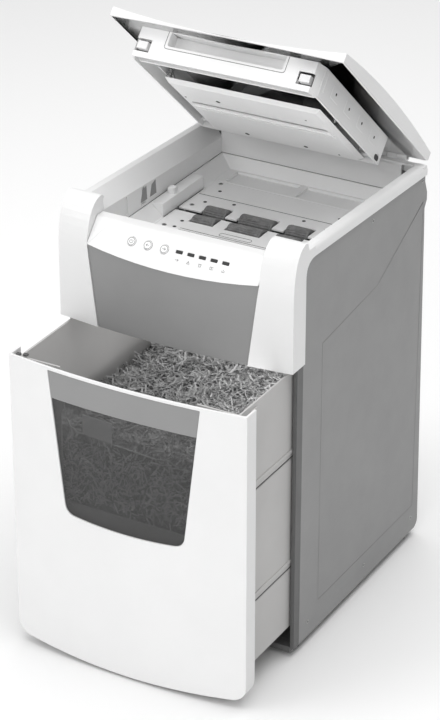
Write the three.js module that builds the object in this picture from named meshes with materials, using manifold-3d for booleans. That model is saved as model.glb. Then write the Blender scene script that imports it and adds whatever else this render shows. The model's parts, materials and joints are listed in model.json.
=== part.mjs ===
// Auto-feed office paper shredder: cabinet, pull-out bin, cutter unit, feed rollers, tray and lid.
// Millimetres, +Z up, front towards -Y. The lid stands open and the bin is partly drawn out.
import * as THREE from 'three';
import { mergeVertices } from 'three/addons/utils/BufferGeometryUtils.js';
import Module from 'manifold-3d';

const wasm = await Module();
wasm.setup();

// ---------------------------------------------------------------- driving dimensions
const cabinetWidth = 370;
const cabinetDepth = 407.5;
const binTopHeight = 472;
const frontFaceY = -201.5;
const rearDraft = 16;
const sideWall = 4;
const postWidth = 6.5;
const wall = 3;
const gap = 0.4;
const footHeight = 14;
const footRadius = 7;
const basePlateThick = 3;

const frontBow = 14;
const pillarReach = 19.5;
const panelInset = 16;
const coverOverlap = 3;
const binCoverGap = 3.5;

const shelfThick = 3;
const cutterRadius = 22;
const cutterGearTeeth = 20;
const feedGearTeeth = 12;
const gearModule = 2;
const fineModule = 1.5;
const reductionTeeth = 44;
const motorPinionTeeth = 12;
const gearWidth = 10;
const motorRadius = 32;
const motorLength = 112;
const feedRollerRadius = 13;
const feedRowSpacing = 36;
const wideRoller = 54;
const narrowRoller = 36;

const rimRise = 14;
const coverSideHeight = 15;
const wellSideBuild = 35;
const rimBevel = 22;
const rimEdge = 8;
const wellSeamDrop = 46;
const wellFloorDrop = 18;

const bandHeight = 45;
const bandSag = 9.5;

const lidLength = 374;
const lidEdge = 14;
const lidCrown = 10;
const lidDip = 12.5;
const lidOpenAngle = 41.7;
const hingeBack = 8;
const hingeBarrel = 6;
const hingePinRadius = 2.5;
const carrierDepth = 46;
const plateMargin = 8;
const plateLength = 180;
const plateDrop = 46;

const binReach = 132;
const binFrontBottom = 4;
const binFlange = 26;
const tubFloorHeight = 51;
const bandMargin = 69;
const windowTaper = 24;
const bandDrop = 48;
const windowHeight = 178;
const shredLevel = 366;
const shredCrust = 4;
const heapRise = 8;

// ---------------------------------------------------------------- levels and planes
const halfWidth = cabinetWidth / 2;
const rearBottomY = frontFaceY + cabinetDepth;
const rearTopY = rearBottomY - rearDraft;
const coverHalf = halfWidth + coverOverlap;
const innerHalf = halfWidth - sideWall - gap;
const postHalfInner = halfWidth - postWidth;
const pillarFrontY = frontFaceY - pillarReach;
const panelFrontY = frontFaceY + panelInset;
const bowHalf = halfWidth + 5;

const coverBottomZ = binTopHeight + binCoverGap;
const shelfTopZ = coverBottomZ + 2.5 + shelfThick;
const cutterZ = shelfTopZ + 39;
const cutterGearRadius = (gearModule * cutterGearTeeth) / 2;
const feedGearRadius = (gearModule * feedGearTeeth) / 2;
const feedZ = cutterZ + 40;
const floorZ = feedZ + feedRollerRadius - 5;
const wellSeamZ = floorZ + wellFloorDrop;
const rimRearZ = wellSeamZ + wellSeamDrop;
const rimFrontZ = rimRearZ + rimRise;
const seamRearZ = rimRearZ - coverSideHeight;

const slotY = (frontFaceY + rearTopY) / 2 + 7.75;
const wellHalf = halfWidth - wellSideBuild;
const wellRearY = rearTopY - 12;
const wellFrontY = frontFaceY + 20;
const floorHalf = wellHalf - 24;
const cutterHalf = wellHalf - 39;
const rimFrontY = frontFaceY + 23.5;
const rimSlope = rimRise / (rearTopY - rimFrontY);
const rimZ = (y) => rimRearZ + rimSlope * (rearTopY - y);

// ---------------------------------------------------------------- solids
function solid(geometry) {
  geometry.deleteAttribute('normal');
  geometry.deleteAttribute('uv');
  const merged = mergeVertices(geometry, 1e-4);
  const vertProperties = new Float32Array(merged.attributes.position.array);
  const triVerts = new Uint32Array(merged.index.array);
  return new wasm.Manifold(new wasm.Mesh({ numProp: 3, vertProperties, triVerts }));
}

function box(x0, x1, y0, y1, z0, z1) {
  const geometry = new THREE.BoxGeometry(x1 - x0, y1 - y0, z1 - z0);
  return solid(geometry.translate((x0 + x1) / 2, (y0 + y1) / 2, (z0 + z1) / 2));
}

// A box whose top rectangle differs from its bottom one; each rectangle is [x0, x1, y0, y1].
function frustum(z0, low, z1, high) {
  const geometry = new THREE.BoxGeometry(2, 2, 2);
  const place = geometry.attributes.position;
  for (let i = 0; i < place.count; i += 1) {
    const rect = place.getZ(i) < 0 ? low : high;
    const x = place.getX(i) < 0 ? rect[0] : rect[1];
    const y = place.getY(i) < 0 ? rect[2] : rect[3];
    place.setXYZ(i, x, y, place.getZ(i) < 0 ? z0 : z1);
  }
  return solid(geometry);
}

function toShape(outline) {
  if (outline instanceof THREE.Shape) return outline;
  return new THREE.Shape(outline.map(([a, b]) => new THREE.Vector2(a, b)));
}

function extruded(outline, depth, steps, curveSegments) {
  return new THREE.ExtrudeGeometry(toShape(outline), { depth, steps, curveSegments, bevelEnabled: false });
}

// Outline in (y, z), swept along X.
function sweepX(outline, x0, x1, steps = 1, curveSegments = 8) {
  const geometry = extruded(outline, x1 - x0, steps, curveSegments);
  geometry.applyMatrix4(new THREE.Matrix4().makeBasis(
    new THREE.Vector3(0, 1, 0),
    new THREE.Vector3(0, 0, 1),
    new THREE.Vector3(1, 0, 0),
  ));
  return solid(geometry.translate(x0, 0, 0));
}

// Outline in (x, z), swept along Y.
function sweepY(outline, y0, y1, curveSegments = 8) {
  const geometry = extruded(outline, y1 - y0, 1, curveSegments);
  geometry.rotateX(Math.PI / 2);
  return solid(geometry.translate(0, y1, 0));
}

// Outline in (x, y), swept along Z.
function sweepZ(outline, z0, z1, curveSegments = 8) {
  return solid(extruded(outline, z1 - z0, 1, curveSegments).translate(0, 0, z0));
}

// A rod along X.
function rodX(radius, x0, x1, y, z, sides = 16) {
  const geometry = new THREE.CylinderGeometry(radius, radius, x1 - x0, sides);
  return solid(geometry.rotateZ(Math.PI / 2).translate((x0 + x1) / 2, y, z));
}

// A rod along Z.
function rodZ(radius, z0, z1, x, y, sides = 16) {
  const geometry = new THREE.CylinderGeometry(radius, radius, z1 - z0, sides);
  return solid(geometry.rotateX(Math.PI / 2).translate(x, y, (z0 + z1) / 2));
}

function roundedRect(x0, x1, y0, y1, r) {
  const shape = new THREE.Shape();
  shape.moveTo(x0 + r, y0);
  shape.lineTo(x1 - r, y0);
  shape.absarc(x1 - r, y0 + r, r, -Math.PI / 2, 0);
  shape.lineTo(x1, y1 - r);
  shape.absarc(x1 - r, y1 - r, r, 0, Math.PI / 2);
  shape.lineTo(x0 + r, y1);
  shape.absarc(x0 + r, y1 - r, r, Math.PI / 2, Math.PI);
  shape.lineTo(x0, y0 + r);
  shape.absarc(x0 + r, y0 + r, r, Math.PI, 1.5 * Math.PI);
  return shape;
}

const joined = (parts) => parts.reduce((sum, part) => sum.add(part));

function toGeometry(manifold) {
  const mesh = manifold.getMesh();
  const geometry = new THREE.BufferGeometry();
  geometry.setAttribute('position', new THREE.BufferAttribute(new Float32Array(mesh.vertProperties), 3));
  geometry.setIndex(new THREE.BufferAttribute(new Uint32Array(mesh.triVerts), 1));
  return geometry;
}

// How far the bowed front stands forward of its corners at x.
const bowAt = (x) => frontBow * (1 - (x / bowHalf) ** 2);

// Pushes a piece forward by the bow, from nothing at `stillY` to the whole bow at `fullY`.
function bowed(manifold, stillY, fullY) {
  const geometry = toGeometry(manifold);
  const place = geometry.attributes.position;
  for (let i = 0; i < place.count; i += 1) {
    const share = THREE.MathUtils.clamp((stillY - place.getY(i)) / (stillY - fullY), 0, 1);
    place.setY(i, place.getY(i) - share * bowAt(place.getX(i)));
  }
  return solid(geometry);
}

// Lifts a piece swept along Y so that it follows the slope of the cover's rim.
function alongRim(manifold) {
  const geometry = toGeometry(manifold);
  const place = geometry.attributes.position;
  for (let i = 0; i < place.count; i += 1) {
    place.setZ(i, place.getZ(i) + rimZ(place.getY(i)));
  }
  return solid(geometry);
}

const mirrored = (manifold) => manifold.mirror([1, 0, 0]);

// ---------------------------------------------------------------- materials and nodes
const finish = {
  white: { color: 0xeceded, roughness: 0.45, metalness: 0 },
  lightGrey: { color: 0xc9cacb, roughness: 0.55, metalness: 0 },
  tubGrey: { color: 0xb6b5b1, roughness: 0.55, metalness: 0 },
  midGrey: { color: 0x858688, roughness: 0.5, metalness: 0 },
  darkGrey: { color: 0x5c5d5f, roughness: 0.5, metalness: 0.1 },
  smoke: { color: 0x4a4b4d, roughness: 0.15, metalness: 0 },
  steel: { color: 0x9a9c9e, roughness: 0.35, metalness: 0.9 },
  cutter: { color: 0x7d7f82, roughness: 0.3, metalness: 0.9 },
  rubber: { color: 0x3b3c3d, roughness: 0.8, metalness: 0 },
  gearWhite: { color: 0xdadbd6, roughness: 0.5, metalness: 0 },
  board: { color: 0x2f5a3c, roughness: 0.6, metalness: 0 },
  black: { color: 0x222324, roughness: 0.5, metalness: 0 },
  paper: { color: 0xb9b9b7, roughness: 0.95, metalness: 0 },
};

function node(name, manifold, look, parent) {
  const geometry = toGeometry(manifold).toNonIndexed();
  geometry.computeVertexNormals();
  const mesh = new THREE.Mesh(geometry, new THREE.MeshStandardMaterial(finish[look]));
  mesh.name = name;
  parent.add(mesh);
  return mesh;
}

const machine = new THREE.Group();

// ---------------------------------------------------------------- cabinet
const seamCorner = 26;
const baseCorner = 14;
const inletX = 110;
const inletZ = shelfTopZ + 28;
const inletHalf = 15;
const inletRise = 12;
const inletWall = 3;
const inletDepth = 26;
const inletPinPitch = 7;
const ventHalf = 70;
const ventPitch = 8;
const ventHeight = 3.5;
const seamAt = (y) => rimZ(y) - coverSideHeight;

// Rear edge of the cabinet from the base corner up to the cover, with the grip ridge near the top.
function rearEdge(shape, inset, topZ) {
  const ridgeZ = floorZ + 14;
  shape.lineTo(rearBottomY - inset, footHeight + baseCorner);
  shape.lineTo(rearTopY + 2 - inset, ridgeZ - 38);
  shape.lineTo(rearTopY + 1 - inset, ridgeZ - 20);
  shape.lineTo(rearTopY + 8 - inset, ridgeZ - 8);
  shape.lineTo(rearTopY + 8 - inset, ridgeZ + 4);
  shape.lineTo(rearTopY - inset, ridgeZ + 24);
  shape.lineTo(rearTopY - inset, topZ);
}

function sidePanel() {
  const shape = new THREE.Shape();
  const front = panelFrontY + gap;
  const lift = seamAt(front + seamCorner) - gap;
  shape.moveTo(front, footHeight);
  shape.lineTo(rearBottomY - baseCorner, footHeight);
  shape.absarc(rearBottomY - baseCorner, footHeight + baseCorner, baseCorner, -Math.PI / 2, 0);
  rearEdge(shape, 0, seamRearZ - gap);
  shape.lineTo(front + seamCorner, lift);
  shape.quadraticCurveTo(front, lift, front, lift - seamCorner);
  return sweepX(shape, halfWidth - sideWall, halfWidth, 1, 6);
}

function rearPanel() {
  const shape = new THREE.Shape();
  const low = footHeight + basePlateThick + gap;
  const high = seamRearZ - gap;
  shape.moveTo(rearBottomY - 1, low);
  rearEdge(shape, 1, high);
  const outer = shape.getPoints();
  const inner = outer.map((p) => new THREE.Vector2(p.x - wall, p.y)).reverse();
  const plate = sweepX(new THREE.Shape([...outer, ...inner]), -innerHalf, innerHalf);
  const vents = [];
  for (let i = 0; i < 6; i += 1) {
    const z = shelfTopZ + 12 + i * ventPitch;
    vents.push(box(-ventHalf, ventHalf, rearTopY - 20, rearTopY + 20, z, z + ventHeight));
  }
  const socket = box(inletX - inletHalf - gap, inletX + inletHalf + gap, rearTopY - 20, rearBottomY + 5,
    inletZ - inletRise - gap, inletZ + inletRise + gap);
  return plate.subtract(joined([...vents, socket]));
}

function mainsInlet() {
  const face = rearTopY + 3.5;
  const halfIn = inletHalf - inletWall;
  const riseIn = inletRise - inletWall;
  const floor = face - inletDepth + 8;
  const body = box(inletX - inletHalf, inletX + inletHalf, face - inletDepth, face,
    inletZ - inletRise, inletZ + inletRise);
  const well = box(inletX - halfIn, inletX + halfIn, floor, face + 1, inletZ - riseIn, inletZ + riseIn);
  const pin = (x) => box(x - 1, x + 1, floor - 1, face - 4, inletZ - 3, inletZ + 3);
  const pins = [-inletPinPitch, 0, inletPinPitch].map((x) => pin(inletX + x));
  return body.subtract(well).add(joined(pins));
}

node('side_panel_right', sidePanel(), 'midGrey', machine);
node('side_panel_left', mirrored(sidePanel()), 'midGrey', machine);
node('rear_panel', rearPanel(), 'midGrey', machine);
node('mains_inlet', mainsInlet(), 'black', machine);

const barTopZ = footHeight + basePlateThick;
const basePlate = box(-innerHalf, innerHalf, panelFrontY + gap, rearBottomY - 5, footHeight, barTopZ);
node('base_plate', basePlate, 'darkGrey', machine);

const footInset = 16;
const rearFootInset = 26;

for (const [side, x] of [['left', -1], ['right', 1]]) {
  const footX = x * (halfWidth - footInset);
  const foot = (y) => rodZ(footRadius, 0, footHeight - gap, footX, y, 16);
  node(`foot_front_${side}`, foot(panelFrontY + footInset), 'rubber', machine);
  node(`foot_rear_${side}`, foot(rearBottomY - rearFootInset), 'rubber', machine);
  const x0 = x < 0 ? -halfWidth : postHalfInner;
  const x1 = x < 0 ? -postHalfInner : halfWidth;
  const post = box(x0, x1, frontFaceY, panelFrontY, footHeight, coverBottomZ - gap);
  node(`front_post_${side}`, post, 'darkGrey', machine);
}

const barHalf = postHalfInner - gap;
const frontBar = box(-barHalf, barHalf, frontFaceY, panelFrontY, footHeight / 2, barTopZ);
node('base_front_bar', frontBar, 'darkGrey', machine);

// ---------------------------------------------------------------- shelf under the cutter unit
const outletHalfY = cutterRadius + 24;
const shelf = box(-innerHalf, innerHalf, panelFrontY + gap, rearTopY - wall - 4,
  shelfTopZ - shelfThick, shelfTopZ);
const outlet = box(-cutterHalf, cutterHalf, slotY - outletHalfY, slotY + outletHalfY, 0, shelfTopZ + 1);
node('mechanism_shelf', shelf.subtract(outlet), 'darkGrey', machine);

// ---------------------------------------------------------------- top cover with its two front pillars
const fasciaHalfLow = halfWidth - 64;
const fasciaHalfHigh = halfWidth - 48;
const bandLowZ = rimFrontZ - bandHeight;
const pillarTopZ = rimFrontZ + 13;
const pillarCurl = 78;

function frontOpening(spread) {
  return [
    [-fasciaHalfLow - spread, coverBottomZ - 20],
    [fasciaHalfLow + spread, coverBottomZ - 20],
    [fasciaHalfLow + spread, coverBottomZ],
    [fasciaHalfHigh + spread, bandLowZ],
    [fasciaHalfHigh + spread, pillarTopZ + 20],
    [-fasciaHalfHigh - spread, pillarTopZ + 20],
    [-fasciaHalfHigh - spread, bandLowZ],
    [-fasciaHalfLow - spread, coverBottomZ],
  ];
}

function pillarOutline() {
  const shape = new THREE.Shape();
  const back = panelFrontY + seamCorner;
  shape.moveTo(panelFrontY, coverBottomZ);
  shape.lineTo(panelFrontY, seamAt(back) - seamCorner);
  shape.quadraticCurveTo(panelFrontY, seamAt(back), back, seamAt(back));
  shape.lineTo(back, rimZ(back));
  shape.lineTo(rimFrontY, rimFrontZ);
  shape.lineTo(rimFrontY - 4, pillarTopZ - 1);
  shape.lineTo(rimFrontY - 9, pillarTopZ);
  const curl = pillarTopZ - pillarCurl;
  shape.bezierCurveTo(rimFrontY - 27, pillarTopZ, pillarFrontY, pillarTopZ - 26, pillarFrontY, curl);
  shape.lineTo(pillarFrontY, coverBottomZ);
  return shape;
}

function pillarHollow() {
  const shape = new THREE.Shape();
  const front = pillarFrontY + wall;
  const back = panelFrontY + seamCorner + 1;
  shape.moveTo(back, coverBottomZ + wall);
  shape.lineTo(back, rimZ(back) - wall);
  shape.lineTo(rimFrontY + 1, rimFrontZ - wall);
  shape.lineTo(rimFrontY - 9, pillarTopZ - wall - 1);
  const curl = pillarTopZ - pillarCurl;
  shape.bezierCurveTo(rimFrontY - 25, pillarTopZ - wall, front, pillarTopZ - 28, front, curl);
  shape.lineTo(front, coverBottomZ + wall);
  return shape;
}

function rimSection() {
  const edge = rimEdge;
  const shape = new THREE.Shape();
  const low = -wellSeamDrop - rimRise - 4;
  shape.moveTo(coverHalf, -coverSideHeight);
  shape.lineTo(coverHalf, -edge);
  shape.absarc(coverHalf - edge, -edge, edge, 0, Math.PI / 2);
  shape.lineTo(wellHalf + rimBevel, 0);
  shape.lineTo(wellHalf, -rimBevel);
  shape.lineTo(wellHalf, low);
  shape.lineTo(wellHalf + wall, low);
  shape.lineTo(wellHalf + wall, -rimBevel - 1.2);
  shape.lineTo(wellHalf + rimBevel + 1.2, -wall);
  shape.lineTo(coverHalf - wall, -wall);
  shape.lineTo(coverHalf - wall, -coverSideHeight);
  return shape;
}

// Rear of the rim: the outer wall down to the seam, and the top.
function rearRimOutline() {
  const top = rimRearZ;
  return [
    [rearTopY, seamRearZ],
    [rearTopY, top - 1],
    [rearTopY - 1, top],
    [wellRearY + 1, top],
    [wellRearY + 1, top - wall],
    [rearTopY - wall, top - wall],
    [rearTopY - wall, seamRearZ],
  ];
}

// Rear wall of the well, down to the tray, with its upper edge bevelled.
function wellRearOutline() {
  const top = rimRearZ;
  return [
    [wellRearY + 5, top],
    [wellRearY, top - 5],
    [wellRearY, wellSeamZ],
    [wellRearY + wall, wellSeamZ],
    [wellRearY + wall, top - 7],
    [wellRearY + 6.2, top - wall],
    [wellRearY + 6.2, top],
  ];
}

const hingeY = rearTopY + hingeBack;
const barrelClear = hingeBarrel + gap + 0.3;
const hingeZ = rimRearZ + 1;
const coverKnuckles = [[wellHalf - 46, wellHalf - 30.5], [wellHalf - 14.5, wellHalf + 1]];
const lidKnuckle = [wellHalf - 30, wellHalf - 15];
const grooveDepth = 2.2;

function bothSides(make) {
  const right = make();
  return right.add(mirrored(right));
}

function topCover() {
  const pillars = sweepX(pillarOutline(), -coverHalf, coverHalf, 1, 10)
    .subtract(sweepY(frontOpening(gap), pillarFrontY - 40, panelFrontY + 60))
    .subtract(box(-wellHalf, wellHalf, wellFrontY, rearTopY, shelfTopZ, pillarTopZ + 9));
  const hollow = sweepX(pillarHollow(), -coverHalf + wall, coverHalf - wall, 1, 10)
    .subtract(sweepY(frontOpening(gap + wall), pillarFrontY - 40, panelFrontY + 60));
  const shell = bowed(pillars.subtract(hollow), panelFrontY, pillarFrontY);
  const sideWalls = bothSides(() => alongRim(sweepY(rimSection(), wellFrontY - 2, rearTopY, 6)));
  const rear = sweepX(rearRimOutline(), -coverHalf + 1, coverHalf - 1)
    .add(sweepX(wellRearOutline(), -wellHalf - 1, wellHalf + 1));
  const frontWeb = bothSides(() => box(fasciaHalfHigh + gap, innerHalf, wellFrontY - 2, wellFrontY + 1,
    wellSeamZ, rimZ(wellFrontY) - 1));
  const deep = wellSeamZ - 60;
  const aside = wellHalf + wall + 1;
  const belowSeam = box(-aside, aside, pillarFrontY - 40, rearTopY + 1, deep, wellSeamZ)
    .add(box(-innerHalf, innerHalf, wellRearY + wall, rearTopY + 1, deep, seamRearZ));
  const knuckles = bothSides(() => joined(coverKnuckles.map(([x0, x1]) => joined([
    rodX(hingeBarrel, x0, x1, hingeY, hingeZ, 14),
    box(x0, x1, rearTopY - 1, hingeY, hingeZ - hingeBarrel, hingeZ - hingeBarrel + 4),
  ]))));
  const swing = bothSides(() => rodX(barrelClear, lidKnuckle[0] - gap, lidKnuckle[1] + gap,
    hingeY, hingeZ, 14));
  const bore = rodX(hingePinRadius + gap, -coverHalf, coverHalf, hingeY, hingeZ, 14);
  const grooves = bothSides(() => joined([-102, -54].map((y) => frustum(
    wellSeamZ + 4, [wellHalf - 1, wellHalf + grooveDepth, slotY + y - 6, slotY + y + 6],
    rimZ(slotY + y) - rimBevel - 2, [wellHalf - 1, wellHalf + grooveDepth, slotY + y - 3, slotY + y + 3],
  ))));
  const walls = joined([sideWalls, rear, frontWeb]).subtract(belowSeam);
  return joined([shell, walls, knuckles]).subtract(joined([swing, bore, grooves]));
}

node('top_cover', topCover(), 'white', machine);
node('hinge_pin', rodX(hingePinRadius, -wellHalf - 3, wellHalf + 3, hingeY, hingeZ, 12), 'steel', machine);

// ---------------------------------------------------------------- control panel and fascia
const bandTopZ = rimFrontZ - 13.5;
const bandTopY = frontFaceY + 2;
const bandLowY = pillarFrontY - 1;
const bandStillY = wellFrontY - 10;
const bandTopBow = (bandStillY - bandTopY) / (bandStillY - bandLowY);
const bandRun = bandTopY - bandLowY + frontBow * (1 - bandTopBow);
const bandRise = bandTopZ - bandLowZ + bandSag;
const bandSlope = Math.atan2(bandRise, bandRun);
const bandSteps = 10;

function panelOutline() {
  const back = wellFrontY - 2.5;
  return [
    [bandLowY, bandLowZ],
    [bandTopY, bandTopZ],
    [bandTopY + 3, bandTopZ + 1.5],
    [back, bandTopZ + 1.5],
    [back, wellSeamZ],
    [back - wall, wellSeamZ],
    [back - wall, bandTopZ - 1.5],
    [bandTopY + 4.3, bandTopZ - 1.5],
    [bandTopY + 2.4, bandTopZ - 3],
    [bandLowY + 3.2, bandLowZ],
  ];
}

// Local frame of the band at its middle, where it is bowed furthest.
// X runs along the band, Y up its slope and Z out of it.
const bandFrame = new THREE.Group();
bandFrame.position.set(0, bandLowY - frontBow, bandLowZ - bandSag);
bandFrame.rotation.x = bandSlope;
machine.add(bandFrame);
bandFrame.updateMatrix();

const bandLength = Math.hypot(bandRise, bandRun);
const controlsUp = 31;
const buttonRadius = 6.5;
const buttonPitch = 26.3;
const firstButtonX = -70;
const lightPitch = 18.3;
const lightHalf = 5;
const lightLow = controlsUp - 1;
const lightHigh = controlsUp + 3;
const firstLightX = 6;
const boardTop = -15;
const buttonTravel = 0.8;
const buttons = ['power_button', 'reverse_button', 'forward_button'];
const lights = [0, 1, 2, 3, 4].map((i) => firstLightX + i * lightPitch);
// The band curves away to both sides and its lower edge rises there, so each control stands a little
// off the frame's plane.
const controlBow = 1 - (1 - bandTopBow) * (controlsUp / bandLength);
const sagAt = (x) => bandSag * (1 - (x / fasciaHalfHigh) ** 2);
const controlSag = 1 - controlsUp / bandLength;
const controlLift = (x) => (bowAt(x) - frontBow) * controlBow * Math.sin(bandSlope)
  + (bandSag - sagAt(x)) * controlSag * Math.cos(bandSlope);

// Lowers a piece by the sag of the band's edge: not at all at `stillZ`, fully at `fullZ`, and only
// in front of `backY`.
function sagged(manifold, stillZ, fullZ, backY) {
  const geometry = toGeometry(manifold);
  const place = geometry.attributes.position;
  for (let i = 0; i < place.count; i += 1) {
    const share = THREE.MathUtils.clamp((place.getZ(i) - stillZ) / (fullZ - stillZ), 0, 1);
    if (place.getY(i) < backY) place.setZ(i, place.getZ(i) - share * sagAt(place.getX(i)));
  }
  return solid(geometry);
}

function inBand(manifold) {
  return solid(toGeometry(manifold).applyMatrix4(bandFrame.matrix));
}

function controlPanel() {
  const x = fasciaHalfHigh - gap;
  const straight = sagged(sweepX(panelOutline(), -x, x, bandSteps), bandTopZ, bandLowZ, bandTopY + 4);
  const shell = bowed(straight, bandStillY, bandLowY)
    .intersect(sweepY(frontOpening(-gap), pillarFrontY - 60, wellFrontY + 5));
  const holes = buttons.map((_, i) => {
    const at = firstButtonX + i * buttonPitch;
    return rodZ(buttonRadius + gap, -6, 30, at, controlsUp, 20);
  });
  const halfSlot = lightHalf + gap;
  const slots = lights.map((at) =>
    box(at - halfSlot, at + halfSlot, lightLow - gap, lightHigh + gap, -6, 30));
  return shell.subtract(inBand(joined([...holes, ...slots])));
}

node('control_panel', controlPanel(), 'white', machine);

for (const [i, name] of buttons.entries()) {
  const x = firstButtonX + i * buttonPitch;
  const top = controlLift(x) + 1.2;
  const cap = rodZ(buttonRadius, top - 4, top, x, controlsUp, 20);
  const stem = rodZ(2, boardTop + buttonTravel + gap, top - 3, x, controlsUp, 8);
  node(name, cap.add(stem), 'lightGrey', bandFrame);
}

function lightBar() {
  const lifts = lights.map((x) => controlLift(x));
  const low = Math.min(...lifts) - 8;
  const base = box(lights[0] - lightHalf, lights[4] + lightHalf, lightLow, lightHigh, low - 2, low);
  const tip = (x, top) => box(x - lightHalf, x + lightHalf, lightLow, lightHigh, low - 1, top - 0.3);
  const tips = lights.map((x, i) => tip(x, lifts[i]));
  return base.add(joined(tips));
}

node('status_light_bar', lightBar(), 'black', bandFrame);
node('control_board', box(-96, 90, 8, 40, boardTop - 1.6, boardTop), 'board', bandFrame);

function frontFascia() {
  const front = pillarFrontY + 1.5;
  const outline = [
    [front, coverBottomZ],
    [front, bandLowZ - gap],
    [front + wall, bandLowZ - gap],
    [front + wall, coverBottomZ + wall],
    [panelFrontY, coverBottomZ + wall],
    [panelFrontY, coverBottomZ],
  ];
  const straight = sagged(sweepX(outline, -fasciaHalfHigh, fasciaHalfHigh, 12),
    coverBottomZ + wall, bandLowZ - gap, panelFrontY);
  const plate = bowed(straight, panelFrontY, pillarFrontY);
  return plate.intersect(sweepY(frontOpening(-gap), pillarFrontY - 40, panelFrontY + 40));
}

node('front_fascia', frontFascia(), 'midGrey', machine);

// ---------------------------------------------------------------- paper tray
const rollerPitch = 68;
const rollers = [
  { side: 'left', x: -rollerPitch, width: narrowRoller },
  { side: 'centre', x: 0, width: wideRoller },
  { side: 'right', x: rollerPitch, width: narrowRoller },
];
const frontRowY = slotY - feedRowSpacing / 2;
const rearRowY = slotY + feedRowSpacing / 2;
const slotHalf = 5;
const plateFrontY = slotY - 68;
const plateRearY = slotY + 116;
const floorThick = 3;

function rollerWindows(rowY) {
  const reach = feedRollerRadius + 1.5;
  return joined(rollers.map(({ x, width }) => box(x - width / 2 - 2, x + width / 2 + 2,
    rowY - reach, rowY + reach, floorZ - 9, floorZ + 9)));
}

// The paper guide is also the hood over the feed gears, which stand higher than the tray floor.
const trayLowZ = floorZ - 6.5;
const guideInner = floorHalf + 2.4;
const guideOuter = wellHalf - 2.8;
const guideFrontY = slotY - 36;
const guideRearY = slotY + 82;
const pocketInset = 14;
const pocketRib = 6;

function trayFrame() {
  const out = wellHalf - gap;
  const block = box(-out, out, wellFrontY + 1.5, wellRearY - gap, trayLowZ, wellSeamZ - gap);
  const bowl = frustum(floorZ, [-floorHalf - 2, floorHalf + 2, wellFrontY + 20, wellRearY - 14],
    wellSeamZ, [-out + 2, out - 2, wellFrontY + 3.5, wellRearY - 2.4]);
  const mouth = box(-floorHalf, floorHalf, plateFrontY, plateRearY, floorZ - 20, floorZ + 1);
  const pocket = (x0, x1) => box(x0, x1, plateRearY + 4, wellRearY - 17, trayLowZ + 2, floorZ + 1);
  const pockets = [
    pocket(-floorHalf + pocketInset, -pocketRib),
    pocket(pocketRib, floorHalf - pocketInset),
  ];
  const notch = box(-guideOuter - gap, -floorHalf + 1, guideFrontY - gap, guideRearY + gap,
    trayLowZ - 1, wellSeamZ + 1);
  return block.subtract(joined([bowl, mouth, notch, ...pockets]));
}

function trayPlate(y0, y1, rowY) {
  const plate = box(-floorHalf + gap, floorHalf - gap, y0, y1, floorZ - floorThick, floorZ);
  return plate.subtract(rollerWindows(rowY));
}

node('tray_frame', trayFrame(), 'lightGrey', machine);
node('tray_floor_front', trayPlate(plateFrontY + gap, slotY - slotHalf, frontRowY), 'lightGrey', machine);
node('tray_floor_rear', trayPlate(slotY + slotHalf, plateRearY - gap, rearRowY), 'lightGrey', machine);

const guideWall = 2.2;
const guide = box(-guideOuter, -guideInner, guideFrontY, guideRearY, floorZ - 2, wellSeamZ + 1);
const guideHollow = box(-guideOuter + guideWall, -guideInner - guideWall, guideFrontY + guideWall,
  guideRearY - guideWall, floorZ - 3, wellSeamZ + 1 - guideWall);
node('paper_guide', guide.subtract(guideHollow), 'lightGrey', machine);

// ---------------------------------------------------------------- cutter unit
const frameThick = 3;
const frameHalf = cutterHalf + 3;
const frontCutterY = slotY - cutterGearRadius;
const rearCutterY = slotY + cutterGearRadius;
const shaftRadius = 6;
const bearingPlay = 0.4;
const reductionY = rearCutterY + cutterGearRadius + feedGearRadius;
const motorY = reductionY + (fineModule * (reductionTeeth + motorPinionTeeth)) / 2;
const gearPlane = -guideInner - guideWall - 0.8;
const finePlane = gearPlane - gearWidth - 2;
const idlerRadius = feedGearRadius;

// The idler sits outside the line of cutter and feed shaft, touching both of their gears.
function idlerPlace(cutterY, feedY, outward) {
  const line = new THREE.Vector2(feedY - cutterY, feedZ - cutterZ);
  const span = line.length();
  const near = cutterGearRadius + idlerRadius;
  const far = feedGearRadius + idlerRadius;
  const along = (near * near - far * far + span * span) / (2 * span);
  const off = Math.sqrt(near * near - along * along);
  const unit = line.clone().normalize();
  const side = new THREE.Vector2(-unit.y, unit.x).multiplyScalar(Math.sign(-unit.y * outward) * off);
  return new THREE.Vector2(cutterY, cutterZ).add(unit.multiplyScalar(along)).add(side);
}

const frontIdler = idlerPlace(frontCutterY, frontRowY, -1);
const rearIdler = idlerPlace(rearCutterY, rearRowY, 1);

// A spur gear with straight-sided teeth, about X, with one tooth centred on `phase` from +Y.
function gear(teeth, module, x0, x1, y, z, phase, bore) {
  const root = (module * teeth) / 2 - 1.15 * module;
  const tip = (module * teeth) / 2 + 0.8 * module;
  const pitch = (2 * Math.PI) / teeth;
  const shape = new THREE.Shape();
  for (let i = 0; i < teeth; i += 1) {
    const centre = phase + i * pitch;
    const flank = [[root, -0.3], [tip, -0.11], [tip, 0.11], [root, 0.3]];
    for (const [radius, share] of flank) {
      const angle = centre + share * pitch;
      const point = [y + radius * Math.cos(angle), z + radius * Math.sin(angle)];
      if (i === 0 && share === -0.3) shape.moveTo(...point);
      else shape.lineTo(...point);
    }
  }
  return sweepX(shape, x0, x1).subtract(rodX(bore, x0 - 1, x1 + 1, y, z, 12));
}

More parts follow.
